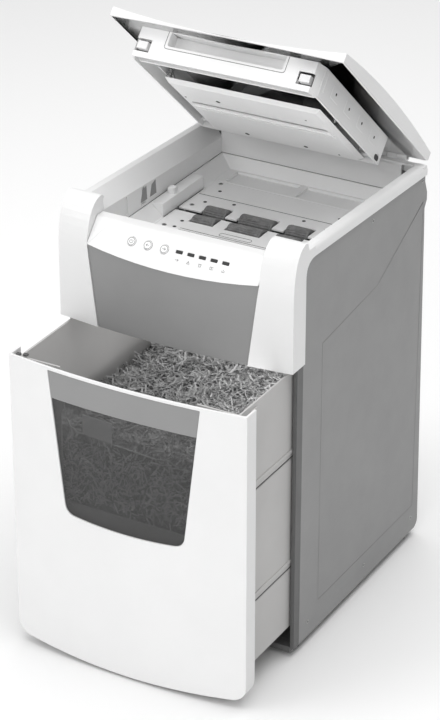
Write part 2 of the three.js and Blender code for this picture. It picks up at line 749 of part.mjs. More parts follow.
// Phase that puts a gap of the second gear on the line to the first one's tooth.
function meshPhase(fromY, fromZ, fromTeeth, fromPhase, toY, toZ, toTeeth) {
  const line = Math.atan2(toZ - fromZ, toY - fromY);
  const fromPitch = (2 * Math.PI) / fromTeeth;
  const toPitch = (2 * Math.PI) / toTeeth;
  const offset = (line - fromPhase) / fromPitch;
  const share = offset - Math.round(offset);
  return line + Math.PI + (0.5 + share) * toPitch;
}

const frontPhase = 0;
const rearPhase = meshPhase(frontCutterY, cutterZ, cutterGearTeeth, frontPhase,
  rearCutterY, cutterZ, cutterGearTeeth);
const discs = 12;
const discPitch = (2 * cutterHalf) / discs;

function cutterShaft(y, offset) {
  const thick = discPitch / 2 - 1;
  const stack = [rodX(shaftRadius, gearPlane - gearWidth, frameHalf + frameThick + 1, y, cutterZ, 12)];
  for (let i = 0; i < discs; i += 1) {
    const x = -cutterHalf + (i + offset) * discPitch;
    stack.push(rodX(cutterRadius, x - thick / 2, x + thick / 2, y, cutterZ, 12));
  }
  return joined(stack);
}

node('cutter_shaft_front', cutterShaft(frontCutterY, 0.3), 'cutter', machine);
node('cutter_shaft_rear', cutterShaft(rearCutterY, 0.8), 'cutter', machine);

// A comb that keeps shreds from riding round with the discs.
function stripper(cutterY, offset, outward) {
  const reach = shaftRadius + 2;
  const spine = cutterY + outward * (cutterRadius + 4);
  const fingers = [];
  for (let i = 0; i < discs - 1; i += 1) {
    const x = -cutterHalf + (i + offset + 0.5) * discPitch;
    fingers.push(box(x - 2, x + 2, Math.min(spine, cutterY + outward * reach),
      Math.max(spine, cutterY + outward * reach), cutterZ - 6, cutterZ + 2));
  }
  const back = box(-cutterHalf, cutterHalf, spine - 2, spine + 2, cutterZ - 8, cutterZ + 4);
  return joined([back, ...fingers]);
}

node('stripper_comb_front', stripper(frontCutterY, 0.3, -1), 'darkGrey', machine);
node('stripper_comb_rear', stripper(rearCutterY, 0.8, 1), 'darkGrey', machine);

function frameBores(x0, x1) {
  const bores = [
    [frontCutterY, cutterZ, shaftRadius],
    [rearCutterY, cutterZ, shaftRadius],
    [frontRowY, feedZ, 4],
    [rearRowY, feedZ, 4],
  ];
  return joined(bores.map(([y, z, r]) => rodX(r + bearingPlay, x0, x1, y, z, 14)));
}

const frameTopZ = trayLowZ - gap;
const frameFrontY = slotY - 62;
const spacerY = frameFrontY + 8;
const spacerRadius = 5;
const rearFrameY = slotY + 62;

function cutterFrame(x0, x1, rear) {
  const plate = box(x0, x1, frameFrontY, rear, shelfTopZ + gap, frameTopZ);
  const top = feedZ + 4 + bearingPlay + 2;
  const ears = box(x0, x1, frontRowY - 8, rearRowY + 8, frameTopZ - 1,
    Math.min(top, floorZ - floorThick - gap));
  return plate.add(ears).subtract(frameBores(x0 - 1, x1 + 1));
}

const idlerAxle = 2.6;
const reductionAxle = 4.6;
const motorShaft = 3;

function throughFrame(radius, y, z, sides) {
  return rodX(radius, -frameHalf - frameThick - 1, -frameHalf + 1, y, z, sides);
}

const motorMount = throughFrame(12, motorY, cutterZ, 16);
const axleBores = joined([
  throughFrame(idlerAxle + bearingPlay, frontIdler.x, frontIdler.y, 10),
  throughFrame(idlerAxle + bearingPlay, rearIdler.x, rearIdler.y, 10),
  throughFrame(reductionAxle + bearingPlay, reductionY, cutterZ, 12),
]);
const leftFrame = cutterFrame(-frameHalf - frameThick, -frameHalf, motorY + motorRadius + 4);
node('cutter_frame_left', leftFrame.subtract(motorMount).subtract(axleBores), 'steel', machine);
node('cutter_frame_right', cutterFrame(frameHalf, frameHalf + frameThick, rearFrameY), 'steel', machine);
const spacerBar = rodX(spacerRadius, -frameHalf + gap, frameHalf - gap, spacerY, cutterZ, 12);
node('frame_spacer_bar', spacerBar, 'steel', machine);

function onShaft(teeth, y, z, phase) {
  return gear(teeth, gearModule, gearPlane - gearWidth, gearPlane, y, z, phase, shaftRadius + 0.3);
}

node('cutter_gear_front', onShaft(cutterGearTeeth, frontCutterY, cutterZ, frontPhase), 'steel', machine);
node('cutter_gear_rear', onShaft(cutterGearTeeth, rearCutterY, cutterZ, rearPhase), 'steel', machine);

// ---------------------------------------------------------------- feed rollers and their gears
const feedRows = [
  { row: 'front', y: frontRowY, idler: frontIdler, cutterY: frontCutterY, phase: frontPhase },
  { row: 'rear', y: rearRowY, idler: rearIdler, cutterY: rearCutterY, phase: rearPhase },
];
for (const { row, y, idler, cutterY, phase } of feedRows) {
  const shaft = rodX(4, gearPlane - gearWidth, frameHalf + frameThick + 1, y, feedZ, 12);
  node(`feed_shaft_${row}`, shaft, 'steel', machine);
  for (const { side, x, width } of rollers) {
    const roller = rodX(feedRollerRadius, x - width / 2, x + width / 2, y, feedZ, 20)
      .subtract(rodX(4.3, x - width, x + width, y, feedZ, 12));
    node(`feed_roller_${row}_${side}`, roller, 'rubber', machine);
  }
  const idlerPhase = meshPhase(cutterY, cutterZ, cutterGearTeeth, phase, idler.x, idler.y, feedGearTeeth);
  const feedPhase = meshPhase(idler.x, idler.y, feedGearTeeth, idlerPhase, y, feedZ, feedGearTeeth);
  const wheel = gear(feedGearTeeth, gearModule, gearPlane - gearWidth, gearPlane,
    idler.x, idler.y, idlerPhase, 2);
  const axle = rodX(idlerAxle, gearPlane - gearWidth, -frameHalf - 0.5, idler.x, idler.y, 10);
  node(`idler_gear_${row}`, wheel.add(axle), 'gearWhite', machine);
  const feedGear = gear(feedGearTeeth, gearModule, gearPlane - gearWidth, gearPlane,
    y, feedZ, feedPhase, 4.3);
  node(`feed_gear_${row}`, feedGear, 'gearWhite', machine);
}

// ---------------------------------------------------------------- motor and reduction
const fineWidth = 8;
const smallPhase = meshPhase(rearCutterY, cutterZ, cutterGearTeeth, rearPhase,
  reductionY, cutterZ, feedGearTeeth);
const smallGear = gear(feedGearTeeth, gearModule, gearPlane - gearWidth, gearPlane,
  reductionY, cutterZ, smallPhase, 2);
const bigGear = gear(reductionTeeth, fineModule, finePlane - fineWidth, finePlane,
  reductionY, cutterZ, 0, 2);
const axle = rodX(reductionAxle, finePlane - fineWidth, -frameHalf - 0.4, reductionY, cutterZ, 12);
node('reduction_gear', joined([smallGear, bigGear, axle]), 'gearWhite', machine);

const pinionPhase = meshPhase(reductionY, cutterZ, reductionTeeth, 0, motorY, cutterZ, motorPinionTeeth);
const motorFace = -frameHalf + gap;
const pinion = gear(motorPinionTeeth, fineModule, finePlane - fineWidth, finePlane,
  motorY, cutterZ, pinionPhase, 2);
const pinionShaft = rodX(motorShaft, finePlane - fineWidth, motorFace + 6, motorY, cutterZ, 12);
node('motor_pinion', pinion.add(pinionShaft), 'steel', machine);

const motorCan = rodX(motorRadius, motorFace, motorFace + motorLength, motorY, cutterZ, 24)
  .subtract(rodX(motorShaft + bearingPlay, motorFace - 1, motorFace + 7, motorY, cutterZ, 12));
node('drive_motor', motorCan, 'darkGrey', machine);

// ---------------------------------------------------------------- pull-out bin
const binFrontY = pillarFrontY - binReach;
const binHalf = halfWidth + 5;
const binWall = 3.5;
const windowTopZ = binTopHeight - bandDrop;
const windowLowZ = windowTopZ - windowHeight;
const bandHalfTop = binHalf - bandMargin;
const windowHalfLow = bandHalfTop - windowTaper;

function bowArc(shape, inset, from, to) {
  const steps = 14;
  for (let i = 0; i <= steps; i += 1) {
    const x = from + ((to - from) * i) / steps;
    shape.lineTo(x, binFrontY + inset - bowAt(x));
  }
}

function bowSlab(half, inset, thick, z0, z1) {
  const shape = new THREE.Shape();
  shape.moveTo(half, binFrontY + inset + thick - bowAt(half));
  bowArc(shape, inset + thick, half, -half);
  bowArc(shape, inset, -half, half);
  return sweepZ(shape, z0, z1);
}

// Outline of the dark band and the window below it, `spread` wider all round.
function windowOutline(spread, topZ) {
  const shape = new THREE.Shape();
  const r = 16;
  const low = windowLowZ - spread;
  shape.moveTo(-bandHalfTop - spread, topZ);
  shape.lineTo(-windowHalfLow - spread, low + r);
  shape.quadraticCurveTo(-windowHalfLow - spread + 2, low, -windowHalfLow - spread + r + 2, low - 1);
  shape.quadraticCurveTo(0, low - 9, windowHalfLow + spread - r - 2, low - 1);
  shape.quadraticCurveTo(windowHalfLow + spread - 2, low, windowHalfLow + spread, low + r);
  shape.lineTo(bandHalfTop + spread, topZ);
  return shape;
}

function binSilhouette() {
  const shape = new THREE.Shape();
  const r = 14;
  shape.moveTo(-binHalf, binTopHeight);
  shape.lineTo(-binHalf, binFrontBottom + 20 + r);
  shape.quadraticCurveTo(-binHalf, binFrontBottom + 16, -binHalf + 18, binFrontBottom + 10);
  shape.quadraticCurveTo(-binHalf * 0.45, binFrontBottom, 0, binFrontBottom);
  shape.quadraticCurveTo(binHalf * 0.45, binFrontBottom, binHalf - 18, binFrontBottom + 10);
  shape.quadraticCurveTo(binHalf, binFrontBottom + 16, binHalf, binFrontBottom + 20 + r);
  shape.lineTo(binHalf, binTopHeight);
  return shape;
}

function binFront() {
  const face = bowSlab(binHalf, 0, binWall, 0, binTopHeight);
  const cheeks = bothSides(() => box(binHalf - binWall, binHalf, binFrontY, binFrontY + binFlange,
    0, binTopHeight));
  const window = sweepY(windowOutline(gap, binTopHeight - 5), binFrontY - 40, binFrontY + 20);
  const shell = joined([face, cheeks]).intersect(sweepY(binSilhouette(), binFrontY - 40, binFrontY + 40));
  return shell.subtract(window);
}

const bandPiece = bowSlab(binHalf, 0.8, binWall, windowTopZ + gap, binTopHeight - 5 - gap)
  .intersect(sweepY(windowOutline(0, binTopHeight - 5 - gap), binFrontY - 40, binFrontY + 20));
const windowPiece = bowSlab(binHalf, 1.4, 2.2, 0, windowTopZ)
  .intersect(sweepY(windowOutline(0, binTopHeight - 5), binFrontY - 40, binFrontY + 20));
node('bin_front', binFront(), 'white', machine);
node('bin_band', bandPiece, 'midGrey', machine);
node('bin_window', windowPiece, 'smoke', machine);

const tubHalf = postHalfInner - 2.5;
const tubFrontY = binFrontY + 4.5;
const tubRearY = rearTopY - binReach - 10;
const tubTopZ = binTopHeight - 3;
const tubCorner = 24;
const sightHalf = bandHalfTop - windowTaper / 2;
const sightLip = 10;
const tubGrooveDrops = [137, 318];
const skidInset = 50;
const skidWidth = 8;
const skidShort = 40;

function tubOutline(inset, topZ) {
  const shape = new THREE.Shape();
  const low = tubFloorHeight + inset;
  shape.moveTo(tubFrontY + inset, topZ);
  shape.lineTo(tubFrontY + inset, low);
  shape.lineTo(tubRearY - inset - tubCorner, low);
  shape.absarc(tubRearY - inset - tubCorner, low + tubCorner, tubCorner, -Math.PI / 2, 0);
  shape.lineTo(tubRearY - inset, topZ);
  return shape;
}

function binTub() {
  const outer = sweepX(tubOutline(0, tubTopZ), -tubHalf, tubHalf, 1, 5);
  const inner = sweepX(tubOutline(wall, tubTopZ + 1), -tubHalf + wall, tubHalf - wall, 1, 5);
  const sight = roundedRect(-sightHalf, sightHalf, windowLowZ + sightLip, tubTopZ + 40, 14);
  const sightHole = sweepY(sight, tubFrontY - 1, tubFrontY + wall + 1, 4);
  const grooveCut = (drop) => box(tubHalf - 1, tubHalf + 1, tubFrontY + 20, tubRearY - 12,
    tubTopZ - drop - 1.5, tubTopZ - drop + 1.5);
  const grooves = bothSides(() => joined(tubGrooveDrops.map(grooveCut)));
  const skid = bothSides(() => box(tubHalf - skidInset - skidWidth, tubHalf - skidInset,
    tubFrontY + skidShort, tubRearY - skidShort, barTopZ + 1.5, tubFloorHeight + 1));
  return outer.add(skid).subtract(inner).subtract(sightHole).subtract(grooves);
}

node('bin_tub', binTub(), 'tubGrey', machine);

const heapRun = 48;

// The shreds are a crust, open below, that follows the tub's walls and heaps up in the middle.
function shredHeap() {
  const inset = wall + 1;
  const half = tubHalf - inset;
  const edgeSlope = [-half, half, tubFrontY + inset, tubRearY - inset];
  const crown = [-half + heapRun, half - heapRun, tubFrontY + heapRun + 12, tubRearY - heapRun - 12];
  const heap = sweepX(tubOutline(inset, shredLevel), -half, half, 1, 5)
    .add(frustum(shredLevel - 1, edgeSlope, shredLevel + heapRise, crown));
  const under = sweepX(tubOutline(inset + shredCrust, shredLevel - shredCrust), -half + shredCrust,
    half - shredCrust, 1, 5);
  const openBelow = box(-half + shredCrust, half - shredCrust, tubFrontY + inset + shredCrust,
    tubRearY - inset - shredCrust - tubCorner, tubFloorHeight, tubFloorHeight + 40);
  return heap.subtract(joined([under, openBelow]));
}

node('shred_heap', shredHeap(), 'paper', machine);

// ---------------------------------------------------------------- lid, in its own frame at the hinge
const lid = new THREE.Group();
lid.position.set(0, hingeY, hingeZ);
lid.rotation.x = -THREE.MathUtils.degToRad(lidOpenAngle);
machine.add(lid);

const lidHalf = coverHalf - 4;
const lidTop = lidEdge + 1;
const manualSlotY = slotY - hingeY;
const manualSlotHalf = cutterHalf - 1;
const manualSlotWidth = 10;
const lidBow = 6;
const lidSteps = 10;
const dipStillZ = 2;
const dipFullZ = 9;

// The slot for a single sheet, in line with the feed slot when the lid is shut.
function manualSlot(z0, z1) {
  const half = manualSlotWidth / 2;
  const outline = roundedRect(-manualSlotHalf, manualSlotHalf, manualSlotY - half, manualSlotY + half,
    half - 0.1);
  return sweepZ(outline, z0, z1, 3);
}

function lidOutline(inset) {
  const shape = new THREE.Shape();
  shape.moveTo(-inset, inset > 0 ? -1 : 1);
  shape.lineTo(-inset, lidTop - inset);
  const mid = -lidLength / 2;
  shape.quadraticCurveTo(mid, lidTop - inset + 2 * lidCrown, -lidLength + inset, lidTop - inset);
  shape.lineTo(-lidLength + inset, inset > 0 ? -1 : 1);
  return shape;
}

function lidBowed(manifold) {
  const geometry = toGeometry(manifold);
  const place = geometry.attributes.position;
  for (let i = 0; i < place.count; i += 1) {
    const share = THREE.MathUtils.clamp(-place.getY(i) / lidLength, 0, 1) ** 3;
    place.setY(i, place.getY(i) - share * lidBow * (1 - (place.getX(i) / lidHalf) ** 2));
  }
  return solid(geometry);
}

// The front of the lid dips in the middle, over the handle; what lies below `dipStillZ` stays.
function dipped(manifold) {
  const geometry = toGeometry(manifold);
  const place = geometry.attributes.position;
  for (let i = 0; i < place.count; i += 1) {
    const along = THREE.MathUtils.clamp(-place.getY(i) / lidLength, 0, 1) ** 2;
    const across = Math.max(0, 1 - (place.getX(i) / lidHalf) ** 2);
    const share = THREE.MathUtils.clamp((place.getZ(i) - dipStillZ) / (dipFullZ - dipStillZ), 0, 1);
    place.setZ(i, place.getZ(i) - lidDip * along * across * share);
  }
  return solid(geometry);
}

// Everything under a surface that lies `below` under the lid's inner top and dips with it.
function underTop(below) {
  const top = lidTop - wall - below;
  const outline = [[20, -90], [20, top]];
  for (let i = 1; i <= lidSteps; i += 1) outline.push([(-lidLength * i) / lidSteps, top]);
  outline.push([-lidLength - 20, top], [-lidLength - 20, -90]);
  return dipped(sweepX(outline, -lidHalf, lidHalf, lidSteps));
}

function lidShell() {
  const outer = dipped(lidBowed(sweepX(lidOutline(0), -lidHalf, lidHalf, lidSteps, lidSteps)));
  const halfInside = lidHalf - wall;
  const inner = dipped(lidBowed(sweepX(lidOutline(wall), -halfInside, halfInside, lidSteps, lidSteps)));
  const knuckle = bothSides(() => rodX(hingeBarrel, lidKnuckle[0], lidKnuckle[1], 0, 0, 14)
    .add(box(lidKnuckle[0], lidKnuckle[1], -wall, 0, 0, wall + 2)));
  const clear = bothSides(() => joined(coverKnuckles.map(([x0, x1]) =>
    rodX(barrelClear, x0 - gap, x1 + gap, 0, 0, 14))));
  const bore = rodX(hingePinRadius + gap, -coverHalf, coverHalf, 0, 0, 14);
  return outer.subtract(inner).subtract(manualSlot(0, 60)).subtract(clear).add(knuckle).subtract(bore);
}

node('lid_shell', lidShell(), 'white', lid);

const carrierHalf = wellHalf - 4;
const carrierRear = -78;
const carrierFront = -lidLength + 19;
const carrierLow = 3 - carrierDepth;
const handleHalf = 91;
const handleLow = -20;
const handleHigh = 7;
const handleDepth = 21;
const latchX = 128;
const latchHalf = 8;
const latchLow = -31;
const latchHigh = -20;
const latchRoom = 4;
const latchProud = 2;
const latchLength = 16;
const flangeDrop = 7;
const flangeThick = 2.5;
const pivotY = carrierRear - 12;
const pivotZ = carrierLow + 9;
const pivotRadius = 3;

function carrierOutline(inset) {
  const half = carrierHalf - inset;
  return [
    [-half, carrierRear - inset],
    [-half, carrierFront + 18],
    [-half + 7, carrierFront + inset],
    [half - 7, carrierFront + inset],
    [half, carrierFront + 18],
    [half, carrierRear - inset],
  ];
}

// Closes the underside of the shell between its walls and the carrier.
function carrierFlange() {
  const half = lidHalf - wall - gap;
  const sheet = box(-half, half, -lidLength + wall + 2, -hingeBarrel - 12, -90, 90)
    .intersect(underTop(flangeDrop)).subtract(underTop(flangeDrop + flangeThick));
  return sheet.subtract(joined([
    sweepZ(carrierOutline(1), -90, 90),
    box(-carrierHalf + 1, carrierHalf - 1, -lidLength - 20, carrierFront + 18, -90, 90),
  ]));
}

function lidCarrier() {
  const outer = sweepZ(carrierOutline(0), carrierLow, lidTop).intersect(underTop(gap));
  const inner = sweepZ(carrierOutline(wall), carrierLow - 1, lidTop).intersect(underTop(gap + wall));
  const grip = box(-handleHalf - wall, handleHalf + wall, carrierFront + 1,
    carrierFront + handleDepth + wall, handleLow - wall, handleHigh + wall).intersect(underTop(gap));
  const gripHole = sweepY(roundedRect(-handleHalf, handleHalf, handleLow, handleHigh, 3),
    carrierFront - 5, carrierFront + handleDepth, 3).intersect(underTop(gap + wall));
  const windows = bothSides(() => box(latchX - latchHalf - latchRoom, latchX + latchHalf + latchRoom,
    carrierFront - 5, carrierFront + 10, latchLow - latchRoom, latchHigh + latchRoom));
  const pivots = rodX(pivotRadius + gap, -carrierHalf - 5, carrierHalf + 5, pivotY, pivotZ, 12);
  return joined([outer.subtract(inner), grip, carrierFlange()])
    .subtract(joined([gripHole, manualSlot(-5, 60), windows, pivots]));
}

node('lid_carrier', lidCarrier(), 'lightGrey', lid);

function latchTongue() {
  return box(latchX - latchHalf, latchX + latchHalf, carrierFront - latchProud,
    carrierFront + latchLength, latchLow, latchHigh);
}

node('lid_latch_right', latchTongue(), 'white', lid);
node('lid_latch_left', mirrored(latchTongue()), 'white', lid);

const plateFace = lidTop - plateDrop - 14;
const plateRear = carrierRear - wall - gap - 6;
const plateHalf = manualSlotHalf + plateMargin;
const panDepth = 6.5;

function pressurePlate() {
  const front = plateRear - plateLength;
  const pan = frustum(plateFace, [-plateHalf, plateHalf, front, plateRear],
    plateFace + panDepth, [-plateHalf - 7, plateHalf + 7, front - 6, plateRear + 4]);
  const inside = plateHalf - wall;
  const dish = frustum(plateFace + wall, [-inside, inside, front + wall, plateRear - wall],
    plateFace + panDepth + 0.5, [-plateHalf - 4, plateHalf + 4, front - 3, plateRear + 1]);
  const slot = manualSlot(plateFace - 1, plateFace + 12);
  const ears = bothSides(() => box(plateHalf - 8, plateHalf - 4, pivotY - 5, pivotY + 5,
    plateFace + 1, pivotZ + 4));
  const pins = bothSides(() => rodX(pivotRadius, plateHalf - 8, carrierHalf - 0.8, pivotY, pivotZ, 12));
  return joined([pan.subtract(dish), ears, pins]).subtract(slot);
}

node('pressure_plate', pressurePlate(), 'lightGrey', lid);

// ---------------------------------------------------------------- origin under the middle of the machine
machine.updateMatrixWorld(true);
const extent = new THREE.Box3().setFromObject(machine);
machine.position.y = -(extent.min.y + extent.max.y) / 2;
machine.position.x = -(extent.min.x + extent.max.x) / 2;

export default machine;
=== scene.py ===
import json
import math
import random

import bmesh
import bpy
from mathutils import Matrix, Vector
from mathutils.bvhtree import BVHTree

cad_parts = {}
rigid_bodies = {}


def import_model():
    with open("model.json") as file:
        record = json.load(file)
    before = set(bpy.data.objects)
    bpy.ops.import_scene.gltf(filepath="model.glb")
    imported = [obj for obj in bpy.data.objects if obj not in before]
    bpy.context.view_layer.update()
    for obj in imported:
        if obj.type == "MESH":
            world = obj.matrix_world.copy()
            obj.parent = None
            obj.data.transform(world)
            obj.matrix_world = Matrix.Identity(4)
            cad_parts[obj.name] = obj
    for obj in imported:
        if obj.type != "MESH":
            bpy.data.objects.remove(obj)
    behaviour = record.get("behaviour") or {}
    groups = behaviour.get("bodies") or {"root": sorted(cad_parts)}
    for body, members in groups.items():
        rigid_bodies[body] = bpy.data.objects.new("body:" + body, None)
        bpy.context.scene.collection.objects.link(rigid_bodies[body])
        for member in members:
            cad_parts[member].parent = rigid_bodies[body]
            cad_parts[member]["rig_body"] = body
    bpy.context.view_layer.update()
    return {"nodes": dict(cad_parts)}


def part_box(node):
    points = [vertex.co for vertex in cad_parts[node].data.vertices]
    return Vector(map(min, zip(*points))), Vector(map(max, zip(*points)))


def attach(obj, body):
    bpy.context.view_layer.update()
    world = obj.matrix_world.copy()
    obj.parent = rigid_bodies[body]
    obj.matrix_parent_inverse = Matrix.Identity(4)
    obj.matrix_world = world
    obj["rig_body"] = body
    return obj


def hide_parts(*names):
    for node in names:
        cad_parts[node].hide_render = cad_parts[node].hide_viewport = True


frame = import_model()
nodes = frame["nodes"]

# ---------------------------------------------------------------- places
MM = 0.001
REAR_BOTTOM_Y = 206.0
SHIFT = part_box("side_panel_right")[1].y * 1000 - REAR_BOTTOM_Y
REAR_TOP_Y = 190.0
REAR_SKIN_LOW_Y = 205.2
REAR_STEP_Z = 500
HINGE_Y, HINGE_Z = 198.0, 633.0
LID_ANGLE = math.radians(41.7)
BAND_Y, BAND_Z = -236.0, 591.5
BAND_SLOPE = 0.89564
PLATE_FACE = -45.0
CARRIER_HALF = 146.0
SIDE_FACE_X = 185
TUB_FACE_X = 176
BUTTON_UP, MARK_UP = 31, 20.5
BUTTON_PITCH, MARK_PITCH = 26.3, 18.3
FLOOR_Z = 568.0
ROLLER_RADIUS, ROLLER_Z = 13.0, 560.0


def P(x, y, z):
    """A point given in millimetres from the cabinet's own middle, in the row frame in metres."""
    return Vector((x * MM, (y + SHIFT) * MM, z * MM))


def link(ob):
    bpy.context.scene.collection.objects.link(ob)
    return ob


# ---------------------------------------------------------------- camera, lights, floor
def camera():
    cam = bpy.data.cameras.new("camera")
    ob = link(bpy.data.objects.new("camera", cam))
    cam.sensor_width = 36.0
    cam.sensor_height = 36.0
    cam.lens = 138.46
    cam.clip_start = 0.05
    cam.clip_end = 50
    az, el = math.radians(29.59), math.radians(27.54)
    back = Vector((math.sin(az) * math.cos(el), -math.cos(az) * math.cos(el), math.sin(el)))
    ob.rotation_mode = "QUATERNION"
    ob.rotation_quaternion = (-back).to_track_quat("-Z", "Y")
    ob.location = P(1755.1, -3182.7, 2244.9)
    bpy.context.scene.camera = ob


def area(name, place, aim, size, watts, colour=(1, 1, 1)):
    data = bpy.data.lights.new(name, "AREA")
    data.shape = "RECTANGLE"
    data.size, data.size_y = size
    data.energy = watts
    data.color = colour
    ob = link(bpy.data.objects.new(name, data))
    ob.location = place
    ob.rotation_mode = "QUATERNION"
    ob.rotation_quaternion = (Vector(aim) - Vector(place)).to_track_quat("-Z", "Y")


def stage():
    world = bpy.data.worlds.new("studio")
    bpy.context.scene.world = world
    world.use_nodes = True
    world.node_tree.nodes["Background"].inputs[0].default_value = (1, 1, 1, 1)
    world.node_tree.nodes["Background"].inputs[1].default_value = 0.38
    bpy.context.scene.view_settings.view_transform = "Standard"
    area("key", (-2.6, -2.8, 3.2), (0, 0, 0.45), (2.4, 2.4), 34)
    area("front", (1.0, -3.6, 2.8), (0, 0, 0.45), (2.2, 1.8), 34)
    area("top", (0.2, 0.5, 4.0), (0, 0.5, 0), (4.4, 4.4), 150)
    area("low", (0.3, -3.2, 0.35), (0, 0, 0.8), (1.8, 0.5), 16)
    area("bay", P(0, -60, 470), P(0, -75, 300), (0.32, 0.2), 0.2)
    area("bay_side", P(169, -160, 432), P(-172, -160, 395), (0.34, 0.05), 0.3)
    me = bpy.data.meshes.new("floor")
    r = 12.0
    me.from_pydata([(-r, -r, 0), (r, -r, 0), (r, r, 0), (-r, r, 0)], [], [(0, 1, 2, 3)])
    floor = link(bpy.data.objects.new("floor", me))
    mat = bpy.data.materials.new("floor")
    mat.use_nodes = True
    b = mat.node_tree.nodes["Principled BSDF"]
    b.inputs["Base Color"].default_value = (0.9, 0.9, 0.9, 1)
    b.inputs["Roughness"].default_value = 0.9
    me.materials.append(mat)


camera()
stage()


# ---------------------------------------------------------------- materials
def srgb(v):
    v /= 255.0
    return v / 12.92 if v <= 0.04045 else ((v + 0.055) / 1.055) ** 2.4


def grey(v, warm=0.0):
    return (srgb(v + warm), srgb(v), srgb(v - warm), 1.0)


class Tree:
    """A small helper that adds nodes to a material and links them."""

    def __init__(self, name):
        self.mat = bpy.data.materials.new(name)
        self.mat.use_nodes = True
        self.nt = self.mat.node_tree
        self.bsdf = self.nt.nodes["Principled BSDF"]
        self.coord = self.nt.nodes.new("ShaderNodeTexCoord")

    def node(self, kind, **values):
        n = self.nt.nodes.new(kind)
        for key, value in values.items():
            if key in n.inputs:
                n.inputs[key].default_value = value
            else:
                setattr(n, key, value)
        return n

    def link(self, a, b):
        self.nt.links.new(a, b)

    def noise(self, scale, detail=2.0, rough=0.5, stretch=None):
        n = self.node("ShaderNodeTexNoise", Scale=scale, Detail=detail, Roughness=rough)
        source = self.coord.outputs["Object"]
        if stretch:
            m = self.node("ShaderNodeMapping")
            m.inputs["Scale"].default_value = stretch
            self.link(source, m.inputs["Vector"])
            source = m.outputs["Vector"]
        self.link(source, n.inputs["Vector"])
        return n.outputs["Fac"]

    def ramp(self, fac, low, high, a=0.3, b=0.7):
        r = self.node("ShaderNodeValToRGB")
        r.color_ramp.elements[0].position = a
        r.color_ramp.elements[1].position = b
        r.color_ramp.elements[0].color = low
        r.color_ramp.elements[1].color = high
        self.link(fac, r.inputs["Fac"])
        return r.outputs["Color"]

    def span(self, fac, low, high):
        m = self.node("ShaderNodeMapRange")
        m.inputs["From Min"].default_value = 0.25
        m.inputs["From Max"].default_value = 0.75
        m.inputs["To Min"].default_value = low
        m.inputs["To Max"].default_value = high
        self.link(fac, m.inputs["Value"])
        return m.outputs["Result"]

    def bump(self, height, strength, distance):
        b = self.node("ShaderNodeBump", Strength=strength, Distance=distance)
        self.link(height, b.inputs["Height"])
        self.link(b.outputs["Normal"], self.bsdf.inputs["Normal"])
        return b


def moulded(name, value, rough, grain=0.06, warm=0.0, vary=3.0, size=1900.0, coat=0.0):
    """Moulded plastic: an even colour with slow clouding, spark-eroded grain and slightly uneven gloss."""
    t = Tree(name)
    cloud = t.noise(9.0, 3.0, 0.55)
    dark, bright = grey(value - vary, warm), grey(value + vary * 0.6, warm)
    t.link(t.ramp(cloud, dark, bright), t.bsdf.inputs["Base Color"])
    t.link(t.span(t.noise(26.0, 4.0, 0.6), rough - 0.05, rough + 0.06), t.bsdf.inputs["Roughness"])
    t.bump(t.noise(size, 1.5, 0.6), grain, 0.0004)
    if coat:
        t.bsdf.inputs["Coat Weight"].default_value = coat
        t.bsdf.inputs["Coat Roughness"].default_value = 0.25
    return t.mat


def plated(name, value, rough, metal=1.0, along=(1.0, 30.0, 30.0)):
    """Plated or ground steel with fine drawn streaks."""
    t = Tree(name)
    streak = t.noise(60.0, 3.0, 0.6, along)
    t.link(t.ramp(streak, grey(value - 16), grey(value + 10)), t.bsdf.inputs["Base Color"])
    t.bsdf.inputs["Metallic"].default_value = metal
    t.link(t.span(t.noise(40.0, 4.0, 0.6, along), rough - 0.08, rough + 0.1), t.bsdf.inputs["Roughness"])
    t.bump(streak, 0.08, 0.0003)
    return t.mat


WHITE = moulded("white_plastic", 229, 0.42, 0.05, vary=2.0)
LIGHT = moulded("light_grey_plastic", 238, 0.48, 0.06)
TUB = moulded("tub_plastic", 186, 0.5, 0.06, warm=1.0)
# Mid grey for the panels and solenoids, also used as painted shade in the tray wall's two slots.
MID_AND_SLOT_SHADE = moulded("mid_grey_plastic", 140, 0.46, 0.09)
BAND = moulded("band_plastic", 138, 0.4, 0.04)
# Dark grey for combs, pads and seats, also used as painted shade at the back of the latch pockets.
DARK_AND_POCKET_SHADE = moulded("dark_grey_plastic", 84, 0.5, 0.08)
# Black for the black parts, also used as painted shade in holes, slots and screw recesses.
BLACK_AND_HOLE_SHADE = moulded("black_plastic", 40, 0.5, 0.08, vary=4.0)
GEAR = moulded("gear_plastic", 222, 0.42, 0.03)
POST = moulded("powder_coat", 96, 0.5, 0.14, size=1400.0)
STEEL = plated("plated_steel", 176, 0.3)
CUTTER = plated("cutter_steel", 118, 0.34)


def rubber():
    t = Tree("roller_rubber")
    t.link(t.ramp(t.noise(120.0, 4.0, 0.6), grey(98), grey(128)), t.bsdf.inputs["Base Color"])
    t.link(t.span(t.noise(300.0, 3.0, 0.6), 0.38, 0.6), t.bsdf.inputs["Roughness"])
    t.bump(t.noise(900.0, 3.0, 0.6), 0.12, 0.0005)
    return t.mat


def smoke():
    t = Tree("smoke_window")
    b = t.bsdf
    cloud = t.noise(14.0, 2.0, 0.5)
    t.link(t.ramp(cloud, grey(38), grey(46)), b.inputs["Base Color"])
    b.inputs["Roughness"].default_value = 0.08
    b.inputs["Alpha"].default_value = 0.52
    b.inputs["Coat Weight"].default_value = 0.5
    t.bump(t.noise(30.0, 2.0, 0.5), 0.02, 0.001)
    return t.mat


SEAM = moulded("shadow_line", 120, 0.6, 0.05)
ICON = moulded("printed_grey", 96, 0.55, 0.03)
# Light grey for the clear sheet's cut edge, drawn opaque: a painted highlight.
SHEET_EDGE_HIGHLIGHT = moulded("painted_sheet_edge_highlight", 200, 0.2, 0.01)
MOTOR = moulded("motor_can", 62, 0.38, 0.1, coat=0.2)
BOARD = moulded("circuit_board", 70, 0.45, 0.05)
RUBBER = rubber()
SMOKE = smoke()

